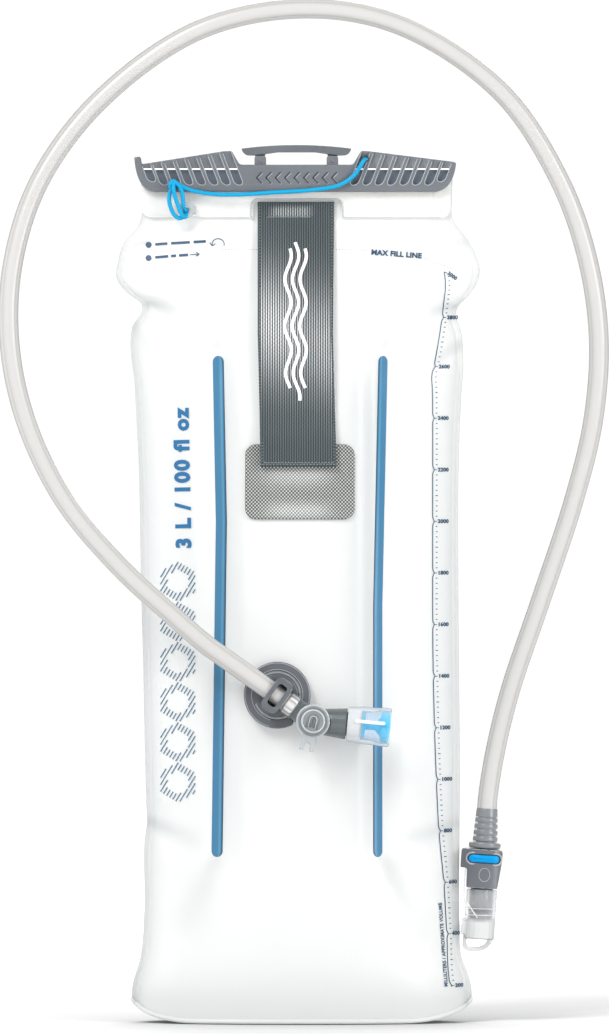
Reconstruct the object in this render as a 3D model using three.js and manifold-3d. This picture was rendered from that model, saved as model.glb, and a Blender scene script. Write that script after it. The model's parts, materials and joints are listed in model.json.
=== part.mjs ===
// A soft drinking-water reservoir for a hiking pack: a welded film bag with a slide-off top closure,
// a webbing hand strap, a side port with a quick-release plug, a drink tube, a tube clip and a bite valve.
// Millimetres, +Z up. The front faces -Y and the bag stands on its base panel, whose middle is the origin.

import * as THREE from "three";
import { mergeVertices } from "three/addons/utils/BufferGeometryUtils.js";
import Module from "manifold-3d";

const wasm = await Module();
wasm.setup();

// ---------------------------------------------------------------- driving dimensions

const GAP = 0.3; // clearance between neighbouring pieces

const FILM = 0.75; // wall of the bag
const SEAM_FACE = 0.9; // half thickness of the two films pressed flat together
const SEAM_WIDTH = 3; // welded seam outside the water space
const NECK_TOP = 408; // top of the flat neck inside the slide bar
const NECK_BOTTOM = 385.4; // where the bag starts to swell

// Half width of the bag, seam included, against height: base corners, waist, shoulder folds and flat neck.
const HALF_WIDTHS = [
  [0, 81.4], [14, 81.4], [30, 77.6], [50, 76.2], [90, 75.5], [170, 76], [265, 77.5], [325, 79.5],
  [345, 78], [360, 86], [372, 84], [384, 76], [408, 74.8],
];
// Half depth of the bag against height.
const HALF_DEPTHS = [
  [0, 32], [35, 35.5], [110, 36.5], [240, 34.5], [300, 29], [340, 19.5], [365, 10], [380, 3.2],
  [NECK_BOTTOM, SEAM_FACE], [NECK_TOP, SEAM_FACE],
];
const BASE_FLAT = 50; // half length of the flat part of the base
const BASE_RISE = 13; // how far the base corners turn up
const FILM_LEVELS = [
  0, 14, 30, 50, 80, 120, 170, 220, 270, 300, 320, 335, 346, 355, 363, 371, 378, NECK_BOTTOM, NECK_TOP,
]; // heights at which the film's facets meet
const FILM_SHARES = [0, 0.13, 0.26, 0.39, 0.5, 0.62, 0.76, 0.88, 0.96, 1]; // and shares of the half width

const BAFFLE_X = 37.7;
const BAFFLE_LEAN = 9; // how much nearer the middle the back edge of each baffle is
const BAFFLE_Z = [81, 320];
const BAFFLE_STRIP = 6; // width of the welded strip
const BAFFLE_DIP = 4.5; // how far a baffle holds the film in
const BAFFLE_REACH = 7; // how far that dip spreads

const STRAP = { x: -1.2, halfWidth: 18.6, top: 393.6, bottom: 266.4, thickness: 1.2 };
const PATCH = { x: 0.2, halfWidth: 26, top: 277, bottom: 241.3, thickness: 0.8, corner: 5 };

const COLLAR_STRIP = { left: -76.2, right: 72.5, top: NECK_TOP, bottom: 386.2, front: -2.7, back: -1.2 };
const STRAP_NOTCH = { left: -22.3, right: 20.2, top: 394.6 };
const FLAP = { left: -75, right: 71, bottom: 391, thickness: 1.2 };
const MOUTH_RAIL = { height: 6.3, depth: 1.3 };
const TAB = { x: -54.2, z: 389.6, outer: 4, inner: 1.8, front: -7, back: -5.6 };

const SLIDER = {
  x: -1.5, left: -79.3, right: 75.1, bottom: 398.3, recess: 411.4, top: 418,
  front: -6.5, back: 5, lipTop: 415.2, lipWidth: 3.6,
};
const SLOT = { pitch: 5.95, first: 27.3, count: 8, width: 3.7, lean: THREE.MathUtils.degToRad(21), bottom: 401.6, depth: 1.4 };
const CORD_HOLE = { x: 31.7, z: 414.2, radius: 1.7 };
const HANDLE = { halfLength: 26.4, top: 420.9, depth: 2.6, legX: 17.3, legWidth: 4.6, pinZ: 413.4, pinRadius: 1.1 };

const TUBE_RADIUS = 4.75;
const TUBE_BORE = 3.2;
const BARB_RADIUS = 2.8;

const PLUG_ORIGIN = new THREE.Vector3(87.6, 0, 64.3); // bottom of the release collar, on the plug's axis
const PLUG_TILT = THREE.MathUtils.degToRad(3.7);
const TUBE_START = 22; // where the tube starts, above the plug's origin

const HUB = new THREE.Vector3(6.5, -49, 145.3); // centre of the shut-off valve
const TUBE_PITCH = THREE.MathUtils.degToRad(35.5); // slope of the tube down to the valve
const OUTLET_TURN = THREE.MathUtils.degToRad(-30.5); // bend from the tube to the mouthpiece
const TUBE_END = 10.5; // from the hub's centre back to the tube's end
const COLLAR_CENTRE = 21; // from the hub's centre back to the tube clip

const LEVER_ANGLE = THREE.MathUtils.degToRad(13.4 - 35.5); // how far the shut-off lever leans from straight down

// ---------------------------------------------------------------- materials

const finish = (color, roughness, options = {}) =>
  new THREE.MeshStandardMaterial({ color, roughness, metalness: 0, ...options });

const FILM_WHITE = finish(0xeef1f2, 0.45, { transparent: true, opacity: 0.6 });
const FROSTED = finish(0xf3f4f4, 0.5, { transparent: true, opacity: 0.7 });
const BLUE_FABRIC = finish(0x3f7595, 0.6);
const WEBBING = finish(0x5f6f76, 0.9);
const GREY_PLASTIC = finish(0x75797f, 0.5);
const DARK_PLASTIC = finish(0x60666b, 0.5);
const CLEAR = finish(0xe6e9ec, 0.15, { transparent: true, opacity: 0.4 });
const TUBE_CLEAR = finish(0xe2e0dd, 0.25, { transparent: true, opacity: 0.6 });
const CORD_BLUE = finish(0x12a4e0, 0.6);
const BUTTON_BLUE = finish(0x1590e0, 0.4);
const VALVE_BLUE = finish(0x62c1ee, 0.35);
const RUBBER = finish(0x2a2c2e, 0.8);
const STEEL = finish(0xb9bcc0, 0.3, { metalness: 1 });

// ---------------------------------------------------------------- solids and shapes

function toSolid(geometry) {
  const bare = geometry.clone();
  bare.deleteAttribute("normal");
  bare.deleteAttribute("uv");
  const merged = mergeVertices(bare, 1e-4);
  return new wasm.Manifold(
    new wasm.Mesh({
      numProp: 3,
      vertProperties: new Float32Array(merged.attributes.position.array),
      triVerts: new Uint32Array(merged.index.array),
    }),
  );
}

function toGeometry(solid) {
  const mesh = solid.getMesh();
  const geometry = new THREE.BufferGeometry();
  geometry.setAttribute("position", new THREE.BufferAttribute(mesh.vertProperties, 3));
  geometry.setIndex(new THREE.BufferAttribute(mesh.triVerts, 1));
  geometry.computeVertexNormals();
  return geometry;
}

const join = (first, ...others) =>
  toGeometry(others.reduce((solid, g) => solid.add(toSolid(g)), toSolid(first)));
const cut = (base, ...tools) =>
  toGeometry(tools.reduce((solid, g) => solid.subtract(toSolid(g)), toSolid(base)));
const common = (a, b) => toGeometry(toSolid(a).intersect(toSolid(b)));

// Cubic interpolation through a list of [position, value] pairs.
function through(points) {
  const slope = (i) => {
    const a = points[Math.max(i - 1, 0)];
    const b = points[Math.min(i + 1, points.length - 1)];
    return (b[1] - a[1]) / (b[0] - a[0]);
  };
  return (at) => {
    const t = THREE.MathUtils.clamp(at, points[0][0], points[points.length - 1][0]);
    let i = 0;
    while (i < points.length - 2 && t > points[i + 1][0]) i += 1;
    const span = points[i + 1][0] - points[i][0];
    const s = (t - points[i][0]) / span;
    const rise = points[i + 1][1] - points[i][1];
    const c = slope(i) * span - rise;
    const d = rise - slope(i + 1) * span;
    return points[i][1] + s * rise + s * (1 - s) * (c * (1 - s) + d * s);
  };
}

// A closed sheet over a grid of u and v. point(u, v, face) gives the outer face (0) and the inner face (1).
// It faces out when u runs along +X and v along +Z on a face that looks along -Y.
function sheet(us, vs, point, mirrored = false) {
  const columns = us.length - 1;
  const rows = vs.length - 1;
  const positions = [];
  for (const face of [0, 1]) for (const v of vs) for (const u of us) positions.push(...point(u, v, face));
  const at = (i, j, face) => (face * (rows + 1) + j) * (columns + 1) + i;
  const index = [];
  const quad = (a, b, c, d) => (mirrored ? index.push(a, c, b, a, d, c) : index.push(a, b, c, a, c, d));
  for (let j = 0; j < rows; j += 1)
    for (let i = 0; i < columns; i += 1) {
      quad(at(i, j, 0), at(i + 1, j, 0), at(i + 1, j + 1, 0), at(i, j + 1, 0));
      quad(at(i, j, 1), at(i, j + 1, 1), at(i + 1, j + 1, 1), at(i + 1, j, 1));
    }
  for (let i = 0; i < columns; i += 1) {
    quad(at(i, 0, 0), at(i, 0, 1), at(i + 1, 0, 1), at(i + 1, 0, 0));
    quad(at(i, rows, 0), at(i + 1, rows, 0), at(i + 1, rows, 1), at(i, rows, 1));
  }
  for (let j = 0; j < rows; j += 1) {
    quad(at(0, j, 0), at(0, j + 1, 0), at(0, j + 1, 1), at(0, j, 1));
    quad(at(columns, j, 0), at(columns, j, 1), at(columns, j + 1, 1), at(columns, j + 1, 0));
  }
  const geometry = new THREE.BufferGeometry();
  geometry.setAttribute("position", new THREE.Float32BufferAttribute(positions, 3));
  geometry.setIndex(index);
  geometry.computeVertexNormals();
  return geometry;
}

function box(x0, x1, y0, y1, z0, z1) {
  const geometry = new THREE.BoxGeometry(x1 - x0, y1 - y0, z1 - z0);
  return geometry.translate((x0 + x1) / 2, (y0 + y1) / 2, (z0 + z1) / 2);
}

// A shape drawn in X and Z, given depth from y0 to y1.
function slabXZ(shape, y0, y1, curveSegments = 8) {
  const geometry = new THREE.ExtrudeGeometry(shape, { depth: y1 - y0, bevelEnabled: false, curveSegments });
  return geometry.rotateX(Math.PI / 2).translate(0, y1, 0);
}

// A shape drawn in Y and Z, given length from x0 to x1.
function slabYZ(shape, x0, x1, curveSegments = 8) {
  const geometry = new THREE.ExtrudeGeometry(shape, { depth: x1 - x0, bevelEnabled: false, curveSegments });
  return geometry.rotateY(Math.PI / 2).rotateX(Math.PI / 2).translate(x0, 0, 0);
}

// A round rod along X, Y or Z between two places on that axis.
function rod(axis, radius, from, to, segments = 20, endRadius = radius) {
  const geometry = new THREE.CylinderGeometry(endRadius, radius, to - from, segments);
  geometry.translate(0, (from + to) / 2, 0);
  if (axis === "x") geometry.rotateZ(-Math.PI / 2);
  if (axis === "z") geometry.rotateX(Math.PI / 2);
  return geometry;
}

// A turned piece: profile is a list of [radius, height], closed on the axis or on itself, bottom outer edge first.
function turned(axis, profile, segments = 20) {
  const geometry = new THREE.LatheGeometry(
    profile.map(([radius, height]) => new THREE.Vector2(radius, height)),
    segments,
  );
  if (axis === "x") geometry.rotateZ(-Math.PI / 2);
  if (axis === "z") geometry.rotateX(Math.PI / 2);
  return geometry;
}

// A turned ring between two radii.
const ring = (axis, inner, outer, from, to, segments = 20) =>
  turned(axis, [[inner, from], [outer, from], [outer, to], [inner, to], [inner, from]], segments);

function polygon(points) {
  return new THREE.Shape(points.map(([a, b]) => new THREE.Vector2(a, b)));
}

function roundedRectangle(x0, x1, z0, z1, radius) {
  const shape = new THREE.Shape();
  shape.moveTo(x0 + radius, z0);
  shape.lineTo(x1 - radius, z0);
  shape.absarc(x1 - radius, z0 + radius, radius, -Math.PI / 2, 0);
  shape.lineTo(x1, z1 - radius);
  shape.absarc(x1 - radius, z1 - radius, radius, 0, Math.PI / 2);
  shape.lineTo(x0 + radius, z1);
  shape.absarc(x0 + radius, z1 - radius, radius, Math.PI / 2, Math.PI);
  shape.lineTo(x0, z0 + radius);
  shape.absarc(x0 + radius, z0 + radius, radius, Math.PI, Math.PI * 1.5);
  return shape;
}

class Coil extends THREE.Curve {
  constructor(radius, height, turns) {
    super();
    Object.assign(this, { radius, height, turns });
  }
  getPoint(t, target = new THREE.Vector3()) {
    const angle = t * this.turns * Math.PI * 2;
    return target.set(Math.cos(angle) * this.radius, Math.sin(angle) * this.radius, t * this.height);
  }
}

// Part of a longer curve, between two shares of its length.
class Stretch extends THREE.Curve {
  constructor(whole, from, to) {
    super();
    Object.assign(this, { whole, from, to });
  }
  getPoint(t, target = new THREE.Vector3()) {
    return target.copy(this.whole.getPointAt(this.from + (this.to - this.from) * t));
  }
}

// A round cord, wire or hose along a curve.
function swept(path, radius, steps, segments, bore = 0) {
  const section = new THREE.Shape();
  section.absarc(0, 0, radius, 0, Math.PI * 2);
  if (bore) section.holes.push(new THREE.Path().absarc(0, 0, bore, 0, Math.PI * 2, true));
  return new THREE.ExtrudeGeometry(section, {
    steps, extrudePath: path, bevelEnabled: false, curveSegments: segments,
  });
}

const spring = (radius, wire, height, turns) => swept(new Coil(radius, height, turns), wire, turns * 8, 3);

// ---------------------------------------------------------------- the bag's surface

const halfWidth = through(HALF_WIDTHS);
const halfDepth = through(HALF_DEPTHS);

const smooth = (low, high, at) => THREE.MathUtils.smoothstep(at, low, high);

function baseHeight(x) {
  const past = Math.max(0, Math.abs(x) - BASE_FLAT) / (halfWidth(0) - BASE_FLAT);
  return BASE_RISE * past ** 2.2;
}

// How round the section is at a share of the half width: 1 in the middle, 0 at the seam.
const swell = (share) => (1 - Math.min(1, Math.abs(share)) ** 2.5) ** 0.62;

// Where a baffle meets the front (side -1) or the back (side 1).
const baffleX = (side) => BAFFLE_X - (side > 0 ? BAFFLE_LEAN : 0);

function baffleDip(x, z, side) {
  const held = smooth(BAFFLE_Z[0] - 25, BAFFLE_Z[0] + 10, z) * (1 - smooth(BAFFLE_Z[1] - 10, BAFFLE_Z[1] + 25, z));
  return BAFFLE_DIP * held * Math.exp(-(((Math.abs(x) - baffleX(side)) / BAFFLE_REACH) ** 2));
}

// Half depth of the outer film at a place on the front or the back.
function filmDepth(x, z, side = -1) {
  const share = x / (halfWidth(z) - SEAM_WIDTH);
  const full = halfDepth(z);
  const dip = Math.min(baffleDip(x, z, side), (full - SEAM_FACE) * 0.6);
  return SEAM_FACE + (full - SEAM_FACE) * swell(share) - dip * swell(share);
}

const mirrorList = (list) => [...list.slice(1).reverse().map((share) => -share), ...list];
const levelsBetween = (bottom, top) => [
  bottom, ...FILM_LEVELS.filter((level) => level > bottom + 2 && level < top - 2), top,
];

// ---------------------------------------------------------------- reservoir

// One wall of the bag. side is -1 for the front and 1 for the back. A share past 1 is the seam.
function bagPanel(side) {
  const shares = mirrorList([...FILM_SHARES, 2]);
  return sheet(shares, FILM_LEVELS, (share, level, face) => {
    const inSeam = Math.abs(share) > 1;
    const reach = (z) => (inSeam ? Math.sign(share) * halfWidth(z) : share * (halfWidth(z) - SEAM_WIDTH));
    const bottom = baseHeight(reach(0)) + FILM + 2 * GAP;
    const z = level + bottom * Math.max(0, 1 - level / 80);
    const outer = inSeam ? SEAM_FACE : filmDepth(reach(z), z, side);
    const x = inSeam || !face ? reach(z) : reach(z) - share * FILM;
    return [x, side * (face ? outer - FILM : outer), z];
  }, side > 0);
}

function basePanel() {
  return sheet(mirrorList([...FILM_SHARES, 2]), [-1, -0.4, 0.4, 1], (share, v, face) => {
    const inSeam = Math.abs(share) > 1;
    const x = inSeam ? Math.sign(share) * halfWidth(0) : share * (halfWidth(0) - SEAM_WIDTH);
    const z = baseHeight(x) + (face ? 0 : FILM);
    return [x, v * (inSeam ? SEAM_FACE : filmDepth(x, 0)), z];
  });
}

// A baffle joins front and back inside the bag: a leaning web with a welded strip on each wall.
function baffle(side) {
  const levels = levelsBetween(...BAFFLE_Z);
  const inside = (wall, z) => filmDepth(baffleX(wall), z, wall) - FILM - 1;
  const strip = (wall) => sheet([-0.5, 0.5], levels, (u, z, face) =>
    [side * (baffleX(wall) + u * BAFFLE_STRIP), wall * (inside(wall, z) - face * 0.9), z], wall * side > 0);
  const web = sheet([0, 1], levels, (u, z, face) => {
    const [front, back] = [0.4 - inside(-1, z), inside(1, z) - 0.4];
    return [side * (baffleX(-1) - BAFFLE_LEAN * u + (face - 0.5) * 0.8), front + (back - front) * u, z];
  }, side > 0);
  return join(web, strip(-1), strip(1));
}

// A band that lies on the front of the bag. stand(z) is how far off the film it is, inset(z) how much narrower.
function frontBand(band, levels, stand, inset = () => 0) {
  return sheet([-1, 0, 1], levels, (u, z, face) => {
    const x = band.x + u * (band.halfWidth - inset(z));
    return [x, -(filmDepth(x, z) + stand(z) + (face ? 0 : band.thickness)), z];
  });
}

function webbingStrap() {
  const overPatch = PATCH.thickness + 3 * GAP;
  const levels = levelsBetween(STRAP.bottom, STRAP.top);
  return frontBand(STRAP, levels, (z) => 0.7 + overPatch * (1 - smooth(PATCH.top + 2, PATCH.top + 22, z)));
}

function strapPatch() {
  const inset = (z) => {
    const fromEnd = Math.min(PATCH.top - z, z - PATCH.bottom, PATCH.corner);
    return PATCH.corner - Math.sqrt(PATCH.corner ** 2 - (PATCH.corner - fromEnd) ** 2);
  };
  const ends = [0, 0.7, 2, PATCH.corner];
  const levels = [
    ...ends.map((rise) => PATCH.bottom + rise), 270, ...ends.reverse().map((drop) => PATCH.top - drop),
  ];
  return frontBand(PATCH, levels, () => 0.9, inset);
}

// The stiff strip on the front of the neck: its top rib runs in the slide bar, and the strap comes out of its notch.
function collarStrip() {
  const { left, right, top, bottom, front, back } = COLLAR_STRIP;
  const outline = roundedRectangle(left, right, bottom, top, 5);
  const notch = roundedRectangle(STRAP_NOTCH.left, STRAP_NOTCH.right, bottom - 6, STRAP_NOTCH.top, 2);
  const rib = box(left + 2, right - 2, front - 1.4, back, top - 3.6, top);
  return join(cut(slabXZ(outline, front, back), slabXZ(notch, front - 1, back + 1)), rib);
}

// Both films where they fold over towards the back.
function mouthFlap() {
  const inner = SEAM_FACE + GAP;
  const outer = inner + FLAP.thickness;
  const section = polygon([
    [-SEAM_FACE, NECK_TOP + GAP], [inner, NECK_TOP + GAP], [inner, FLAP.bottom],
    [outer, FLAP.bottom], [outer, NECK_TOP + 1.2], [-SEAM_FACE, NECK_TOP + 1.2],
  ]);
  return slabYZ(section, FLAP.left, FLAP.right);
}

// The two rims of the mouth, which hang behind the folded neck and stop the slide bar lifting.
function mouthRail(order) {
  const y = SEAM_FACE + GAP + FLAP.thickness + GAP + order * (MOUTH_RAIL.depth + GAP);
  const section = roundedRectangle(y, y + MOUTH_RAIL.depth, FLAP.bottom, FLAP.bottom + MOUTH_RAIL.height, 0.5);
  return slabYZ(section, FLAP.left, FLAP.right, 2);
}

// A clear eyelet standing off the strip, for the cord.
function lanyardTab() {
  const { x, z, outer, inner, front, back } = TAB;
  const eyelet = cut(
    rod("y", outer, front, back, 24).translate(x, 0, z),
    rod("y", inner, front - 1, back + 1, 18).translate(x, 0, z),
  );
  return join(eyelet, box(x + outer - 1.4, x + outer + 0.6, front, COLLAR_STRIP.front - GAP, z - 2, z + 2));
}

// ---------------------------------------------------------------- slide bar

function sliderOutline() {
  const { x, left, right, bottom, recess, top, lipTop, lipWidth } = SLIDER;
  const shape = new THREE.Shape();
  shape.moveTo(left + 10, bottom);
  shape.lineTo(right - 9.5, bottom);
  shape.quadraticCurveTo(right - 1.5, bottom + 1.5, right, 411.5);
  shape.lineTo(right, 412.6);
  shape.lineTo(x + 35, top - 0.2);
  shape.lineTo(x + 31, top);
  shape.lineTo(x + 28, recess + 1.4);
  shape.quadraticCurveTo(x + 27.4, recess, x + 25.5, recess);
  shape.lineTo(x - 25.5, recess);
  shape.quadraticCurveTo(x - 27.4, recess, x - 28, recess + 1.4);
  shape.lineTo(x - 31, top);
  shape.lineTo(x - 35, top - 0.2);
  shape.lineTo(left + lipWidth, 411.6);
  shape.lineTo(left + lipWidth - 0.4, lipTop);
  shape.lineTo(left, lipTop);
  shape.quadraticCurveTo(left + 1, bottom + 0.6, left + 10, bottom);
  return shape;
}

// One slanted grip slot with a round lower end. side is -1 on the left wing and 1 on the right.
function gripSlot(side, number) {
  const { pitch, first, width, lean, bottom } = SLOT;
  const half = width / 2;
  const shape = new THREE.Shape();
  shape.moveTo(half, 22);
  shape.lineTo(-half, 22);
  shape.lineTo(-half, half);
  shape.absarc(0, half, half, Math.PI, Math.PI * 2);
  const corner = number === SLOT.count - 1 ? 1.6 : 0;
  const slot = slabXZ(shape, -12, 0, 3).rotateY(side * lean);
  return slot.translate(SLIDER.x + side * (first + number * pitch), 0, bottom + corner);
}

function slideBar() {
  const { left, right, front, back, recess, bottom, x } = SLIDER;
  const neckFront = COLLAR_STRIP.front - GAP;
  const chamberFront = COLLAR_STRIP.front - 1.4 - GAP;
  const channelBack = SEAM_FACE + GAP + FLAP.thickness + GAP;
  const channelTop = NECK_TOP + 1.5;
  const ribBottom = NECK_TOP - 3.6 - GAP;
  const channel = polygon([
    [neckFront, bottom - 2], [channelBack, bottom - 2], [channelBack, channelTop],
    [chamberFront, channelTop], [chamberFront, ribBottom], [neckFront, ribBottom],
  ]);
  const slots = [];
  for (const side of [-1, 1]) for (let n = 0; n < SLOT.count; n += 1) slots.push(gripSlot(side, n));
  const grooves = join(...slots);
  const frontGrooves = grooves.clone().translate(0, front + SLOT.depth, 0);
  const backGrooves = grooves.clone().translate(0, back - SLOT.depth + 12, 0);
  const lug = (sideX) => {
    const shape = roundedRectangle(sideX - 2.8, sideX + 2.8, recess - 2, HANDLE.pinZ + 2.2, 1.2);
    return [slabXZ(shape, -4.8, -HANDLE.depth - GAP), slabXZ(shape, HANDLE.depth + GAP, 4.2)];
  };
  const lugs = [...lug(x - HANDLE.legX), ...lug(x + HANDLE.legX)];
  const pinHoles = [-1, 1].map((side) =>
    rod("y", HANDLE.pinRadius + 0.15, -6, 6, 16).translate(x + side * HANDLE.legX, 0, HANDLE.pinZ));
  const cordHole = rod("y", CORD_HOLE.radius, front - 2, back + 2, 16).translate(CORD_HOLE.x, 0, CORD_HOLE.z);
  const body = join(slabXZ(sliderOutline(), front, back, 10), ...lugs);
  return cut(body, slabYZ(channel, COLLAR_STRIP.left - GAP, right + 2), frontGrooves, backGrooves, cordHole, ...pinHoles);
}

// The arched handle over the bar, pinned at its two legs.
function carryHandle() {
  const { halfLength, top, depth, legX, legWidth, pinZ, pinRadius } = HANDLE;
  const bar = new THREE.Shape();
  bar.moveTo(-halfLength, top - 1.7);
  bar.quadraticCurveTo(-halfLength + 1, top - 5, -halfLength + 4, top - 5);
  bar.lineTo(-legX - 2, top - 5);
  bar.lineTo(-9, top - 3.5);
  bar.lineTo(9, top - 3.5);
  bar.lineTo(legX + 2, top - 5);
  bar.lineTo(halfLength - 4, top - 5);
  bar.quadraticCurveTo(halfLength - 1, top - 5, halfLength, top - 1.7);
  bar.quadraticCurveTo(0, top + 1.7, -halfLength, top - 1.7);
  const legs = [-1, 1].map((side) =>
    box(side * legX - legWidth / 2, side * legX + legWidth / 2, -depth, depth, SLIDER.recess + GAP, top - 3.6));
  const holes = [-1, 1].map((side) => rod("y", pinRadius + 0.15, -6, 6, 16).translate(side * legX, 0, pinZ));
  return cut(join(slabXZ(bar, -4, 4, 10), ...legs), ...holes).translate(SLIDER.x, 0, 0);
}

function handlePin(side) {
  return rod("y", HANDLE.pinRadius, -5, 4.4, 16).translate(SLIDER.x + side * HANDLE.legX, 0, HANDLE.pinZ);
}

// The cord that keeps the slide bar with the bag: through the bar, along its front, round and into the eyelet.
function lanyard() {
  const path = new THREE.CatmullRomCurve3([
    [CORD_HOLE.x, 6.4, CORD_HOLE.z], [CORD_HOLE.x, 0, CORD_HOLE.z], [CORD_HOLE.x, -6.2, CORD_HOLE.z],
    [29.5, -8.4, 411], [20, -8.6, 402.4], [6, -8.4, 399.2], [-31, -8.2, 396.8], [-46, -8.4, 398],
    [-56, -8.8, 402.6], [-61, -9, 401], [-62.5, -9, 394], [-60.5, -9.2, 387.5], [-57, -9.6, 386],
    [-54.6, -9.2, 388.2], [TAB.x, -7, TAB.z], [TAB.x, -4.4, TAB.z],
  ].map((p) => new THREE.Vector3(...p)));
  return swept(path, 1, 44, 3);
}

// ---------------------------------------------------------------- drink tube

const plugAxis = new THREE.Vector3(Math.sin(PLUG_TILT), 0, Math.cos(PLUG_TILT));
const tailAxis = new THREE.Vector3(-Math.cos(TUBE_PITCH), 0, Math.sin(TUBE_PITCH));
const alongPlug = (height) => PLUG_ORIGIN.clone().addScaledVector(plugAxis, height);
const alongTail = (distance) => HUB.clone().addScaledVector(tailAxis, distance);

// Up from the plug on the right, over the top, down the left and across the front to the valve.
const TUBE_LOOP = [
  [94.1, -0.2, 130.6], [101.2, -1.2, 159.4], [115.8, -3.2, 202.6], [131.6, -6, 250.6], [140.8, -8.5, 289],
  [143.4, -10.5, 327.4], [138, -12, 365.8], [124.3, -13.2, 404.2], [96.2, -13.9, 446.2], [48.2, -14, 477.8],
  [2.2, -14, 485.8],
  [-47.8, -14.6, 475.7], [-94.8, -16.5, 442.6], [-123.8, -19.8, 404.2], [-136.6, -24.2, 365.8],
  [-138.6, -29.2, 327.4], [-130.8, -35.2, 289], [-112.4, -41.2, 250.6], [-86.2, -46, 219.2],
  [-60.5, -48.6, 195.5],
].map((p) => new THREE.Vector3(...p));

const tubePath = new THREE.CatmullRomCurve3([
  ...[TUBE_START, 32, 44].map(alongPlug),
  ...TUBE_LOOP,
  ...[62, 50, 38, 26, TUBE_END].map(alongTail),
]);
tubePath.arcLengthDivisions = 800;

// Share of the tube's length at which it reaches the top of its arch.
function archTopShare() {
  let best = 0;
  for (let i = 1; i < 400; i += 1)
    if (tubePath.getPointAt(i / 400).z > tubePath.getPointAt(best).z) best = i / 400;
  return best;
}
const TOP_SHARE = archTopShare();
const SPLIT = 0.4 / tubePath.getLength(); // half the slit where the tube's two stretches turn on each other

const tubeArch = () => swept(new Stretch(tubePath, 0, TOP_SHARE - SPLIT), TUBE_RADIUS, 30, 5, TUBE_BORE);
const tubeTail = () => swept(new Stretch(tubePath, TOP_SHARE + SPLIT, 1), TUBE_RADIUS, 32, 5, TUBE_BORE);

// ---------------------------------------------------------------- quick-release plug and port, on the plug's axis

const BARREL = { nose: -17.6, shoulder: -15, radius: 5.3, upper: 18.6, tip: 36 };
const SOCKET = { mouth: -0.6, outer: 7.4, bore: 5.95, floor: -22.6 };
const BODY = { height: 18.8, halfWidth: 8.8, halfDepth: 8.6 };

function plugBarrel() {
  const { nose, shoulder, radius, upper, tip } = BARREL;
  return turned("z", [
    [2, nose], [2.9, nose], [2.9, shoulder], [radius - 0.5, shoulder], [radius, shoulder + 0.6],
    [radius, -11.9], [4.2, -11.9], [4.2, -10], [radius, -10], [radius, -0.2],
    [4.9, -0.2], [4.9, upper], [BARB_RADIUS, upper], [BARB_RADIUS, tip - 2], [2.4, tip],
    [2, tip], [2, nose],
  ]);
}

const oRing = (axis, radius, wire, at) => {
  const geometry = new THREE.TorusGeometry(radius, wire, 6, 20);
  if (axis === "y") geometry.rotateX(Math.PI / 2);
  return axis === "y" ? geometry.translate(0, at, 0) : geometry.translate(0, 0, at);
};

// The grey collar: a rounded block with a bore, a pocket for the release button and a hooked lobe.
function connectorBody() {
  const { height, halfWidth: hw, halfDepth: hd } = BODY;
  const front = new THREE.Shape();
  front.moveTo(-7.6, 0);
  front.lineTo(7.2, 0);
  front.lineTo(hw, 13.5);
  front.lineTo(hw, height - 1.2);
  front.lineTo(hw - 1.2, height);
  front.lineTo(-9.4, height);
  front.quadraticCurveTo(-11, height, -11, height - 1.8);
  front.lineTo(-11, 9.4);
  front.lineTo(-8.8, 9.4);
  front.quadraticCurveTo(-7.8, 9, -7.8, 7.8);
  const plan = new THREE.Shape();
  plan.absellipse(0, 0, hw + 2.6, hd, 0, Math.PI * 2);
  const planSolid = new THREE.ExtrudeGeometry(plan, { depth: height + 2, bevelEnabled: false, curveSegments: 20 });
  const block = common(slabXZ(front, -hd, hd, 6), planSolid.translate(0, 0, -1));
  const bore = rod("z", 4.9 + GAP, -1, height + 1);
  const pocket = box(-7.8, 7.8, -hd - 1, -5, 12, 16.4);
  const arms = [-1, 1].map((side) => {
    const [a, b] = [side * 4.9, side * 7.8].sort((p, q) => p - q);
    return box(a, b, -6, 6.6, 12, 16.4);
  });
  return cut(block, bore, pocket, ...arms);
}

// The blue button: a bar across the front with two arms that reach past the plug.
function releaseButton() {
  const bar = roundedRectangle(-7.4, 7.4, 12.35, 16.05, 1.8);
  const arm = (side) => {
    const [a, b] = [side * 5.5, side * 7.3].sort((p, q) => p - q);
    return box(a, b, -7.4, 3, 12.6, 15.8);
  };
  return join(slabXZ(bar, -8.3, -6.7, 5), arm(-1), arm(1));
}

function buttonSpring(side) {
  return spring(0.6, 0.2, 2.8, 3).rotateX(-Math.PI / 2).translate(side * 6.4, 3.35, 14.2);
}

// The ribbed sleeve that keeps the tube from kinking at the plug.
function strainRelief() {
  const start = BODY.height + GAP;
  const sleeve = 21.4;
  const profile = [[BARB_RADIUS + GAP, start], [7.5, start], [7.5, sleeve], [6.1, sleeve]];
  const ribs = 5;
  const pitch = 3;
  for (let n = 0; n < ribs; n += 1) {
    const z = sleeve + 1.6 + n * pitch;
    const outer = 6.1 - n * 0.13;
    profile.push([outer, z], [outer - 0.75, z + 0.5], [outer - 0.05, z + 1.15]);
  }
  profile.push([5.45, 38], [5.05, 38.3], [TUBE_RADIUS + GAP, 38.3], [TUBE_RADIUS + GAP, sleeve + GAP]);
  profile.push([BARB_RADIUS + GAP, sleeve + GAP], [BARB_RADIUS + GAP, start]);
  return turned("z", profile);
}

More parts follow.
